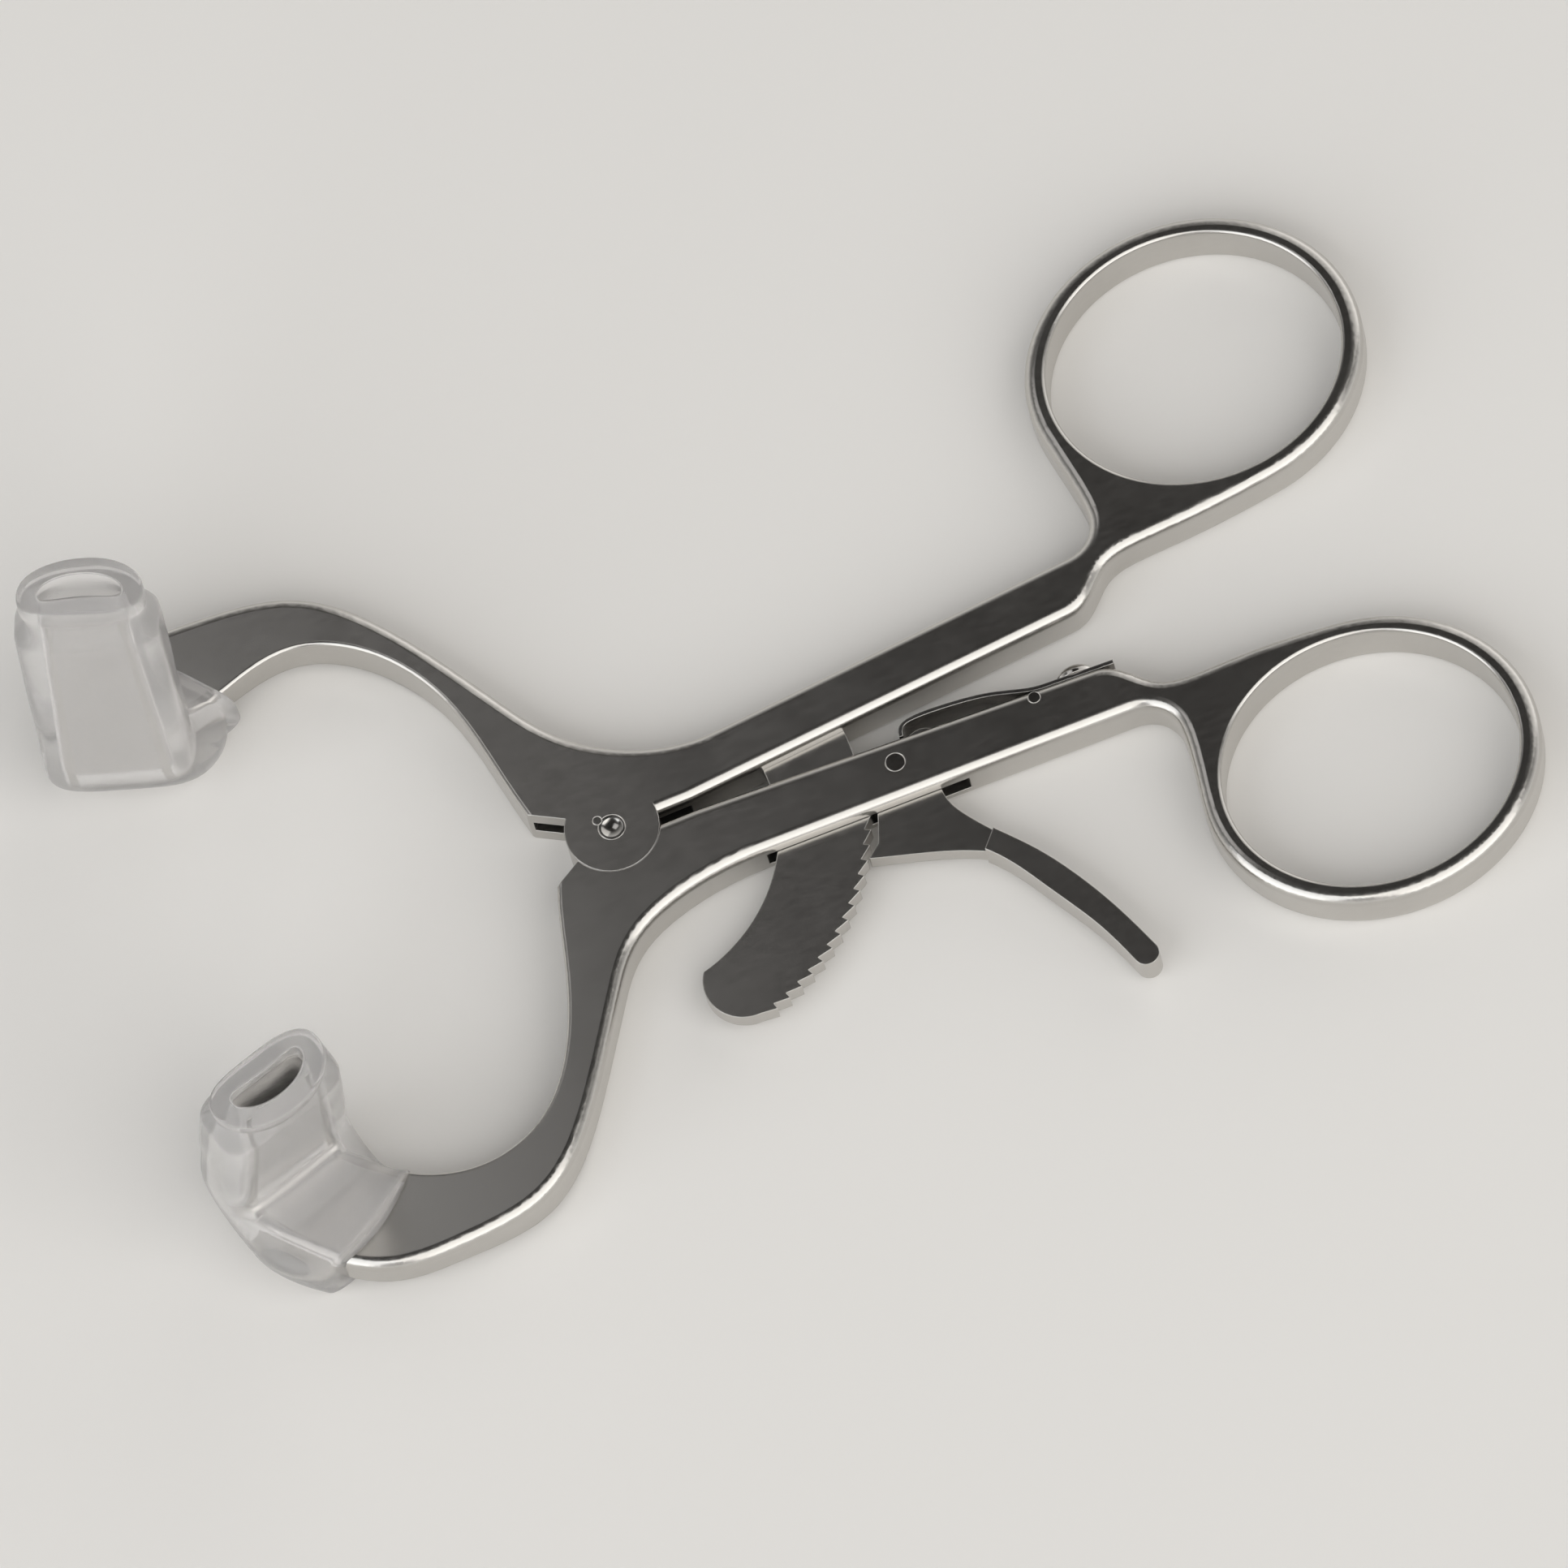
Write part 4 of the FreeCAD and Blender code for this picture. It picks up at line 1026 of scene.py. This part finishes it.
@dataclass(frozen=True)
class Studio:
    """Pale floor, soft light and the camera of the photograph, in degrees and metres.

    The lens and its sensor are in millimetres.
    sky holds the room's colours by height, from 0 at the horizon to 1 overhead.
    """

    aim: Vector = Vector((0.016641, -0.002603, 0.0052))
    azimuth: float = -96.1036
    elevation: float = 64.3977
    roll: float = -16.5419
    distance: float = 2.4
    lens: float = 581.4
    sensor_width: float = 36.0
    near_clip: float = 0.05
    far_clip: float = 30.0
    floor_size: float = 6.0
    floor_drop: float = 0.02 * MM
    floor_roughness: float = 0.7
    floor_colour: Colour = (0.87, 0.855, 0.83, 1)
    horizon: Colour = (0.80, 0.785, 0.76, 1)
    sky: tuple[tuple[float, Colour], ...] = (
        (0.12, (0.80, 0.785, 0.765, 1)),
        (0.46, (0.34, 0.335, 0.325, 1)),
        (0.72, (0.034, 0.032, 0.030, 1)),
    )
    overhead: Colour = (0.016, 0.015, 0.014, 1)
    lamps: tuple[Lamp, ...] = (
        Lamp("KeyLamp", -65, 42, reach=1.9, width=2.4, power=27.5, tint=(1.0, 0.985, 0.96)),
        Lamp("FillLamp", 205, 34, reach=1.9, width=2.0, power=19.0, tint=(0.97, 0.985, 1.0)),
        Lamp("ArmGlow", 124, 60, reach=0.55, width=0.22, power=0.10, tint=(1.0, 0.99, 0.99)),
        Lamp("RimLamp", 35, 26, reach=1.9, width=1.9, power=7.0, tint=(1.0, 0.98, 0.95)),
    )

    def place_camera(self) -> None:
        """Set the camera at the photograph's viewing angle."""
        lens = bpy.data.cameras.new("PhotoCamera")
        lens.lens = self.lens
        lens.sensor_width = self.sensor_width
        lens.clip_start = self.near_clip
        lens.clip_end = self.far_clip
        camera = bpy.data.objects.new("PhotoCamera", lens)
        turn = (Matrix.Rotation(math.radians(self.azimuth + 90), 4, "Z")
                @ Matrix.Rotation(math.radians(90 - self.elevation), 4, "X")
                @ Matrix.Rotation(math.radians(self.roll), 4, "Z"))
        back = turn @ Vector((0, 0, 1))
        camera.matrix_world = Matrix.Translation(self.aim + back * self.distance) @ turn
        bpy.context.scene.collection.objects.link(camera)
        bpy.context.scene.camera = camera

    def lay_floor(self) -> None:
        """Lay the plain pale floor under the instrument."""
        half = self.floor_size / 2
        mesh = bpy.data.meshes.new("Floor")
        mesh.from_pydata([(-half, -half, 0), (half, -half, 0), (half, half, 0), (-half, half, 0)], [],
                         [(0, 1, 2, 3)])
        material, shader = start_material("PaleFloor")
        shader.inputs["Base Color"].default_value = self.floor_colour
        shader.inputs["Roughness"].default_value = self.floor_roughness
        mesh.materials.append(material)
        floor = bpy.data.objects.new("Floor", mesh)
        floor.location.z = -self.floor_drop
        bpy.context.scene.collection.objects.link(floor)
        floor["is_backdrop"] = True

    def light_room(self) -> None:
        """Light the room: bright toward the horizon, dark overhead, and soft lamps at the sides.

        One small glow is near enough to lighten only the faces of the jaw arms.
        """
        world = bpy.data.worlds.new("Room")
        world.use_nodes = True
        bpy.context.scene.world = world
        nodes, links = world.node_tree.nodes, world.node_tree.links
        place = nodes.new("ShaderNodeTexCoord")
        split = nodes.new("ShaderNodeSeparateXYZ")
        ramp = nodes.new("ShaderNodeValToRGB")
        stops = ramp.color_ramp.elements
        stops[0].color = self.horizon
        stops[1].color = self.overhead
        for height, colour in self.sky:
            stop = stops.new(height)
            stop.color = colour
        links.new(place.outputs["Generated"], split.inputs["Vector"])
        links.new(split.outputs["Z"], ramp.inputs["Fac"])
        links.new(ramp.outputs["Color"], nodes["Background"].inputs["Color"])
        for lamp in self.lamps:
            lamp.hang(self.aim)

    def build(self) -> None:
        """Set up the whole studio."""
        bpy.context.scene.view_settings.view_transform = "Standard"
        self.place_camera()
        self.lay_floor()
        self.light_room()


def write_sizes(before: object, after: object) -> None:
    """Turn the frame's box and the dressed model's box into plain lists, which are not kept or written.

    Args:
        before: Box straight after the frame is loaded.
        after: Box of the finished model.
    """

    def plain(box: object) -> object:
        """Turn vectors into lists of numbers."""
        if isinstance(box, dict):
            return {name: plain(value) for name, value in box.items()}
        if isinstance(box, (list, tuple, Vector)):
            return [plain(value) for value in box]
        return float(box)

    {"cad": plain(before), "visual": plain(after)}


def main() -> None:
    """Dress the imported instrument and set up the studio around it."""
    logging.basicConfig(level=logging.INFO, format="%(message)s")
    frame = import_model()
    cad_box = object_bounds()
    Studio().build()
    Metalwork().dress(frame["nodes"])
    SleevePair().build()
    write_sizes(cad_box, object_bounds())


if __name__ == "__main__":
    main()
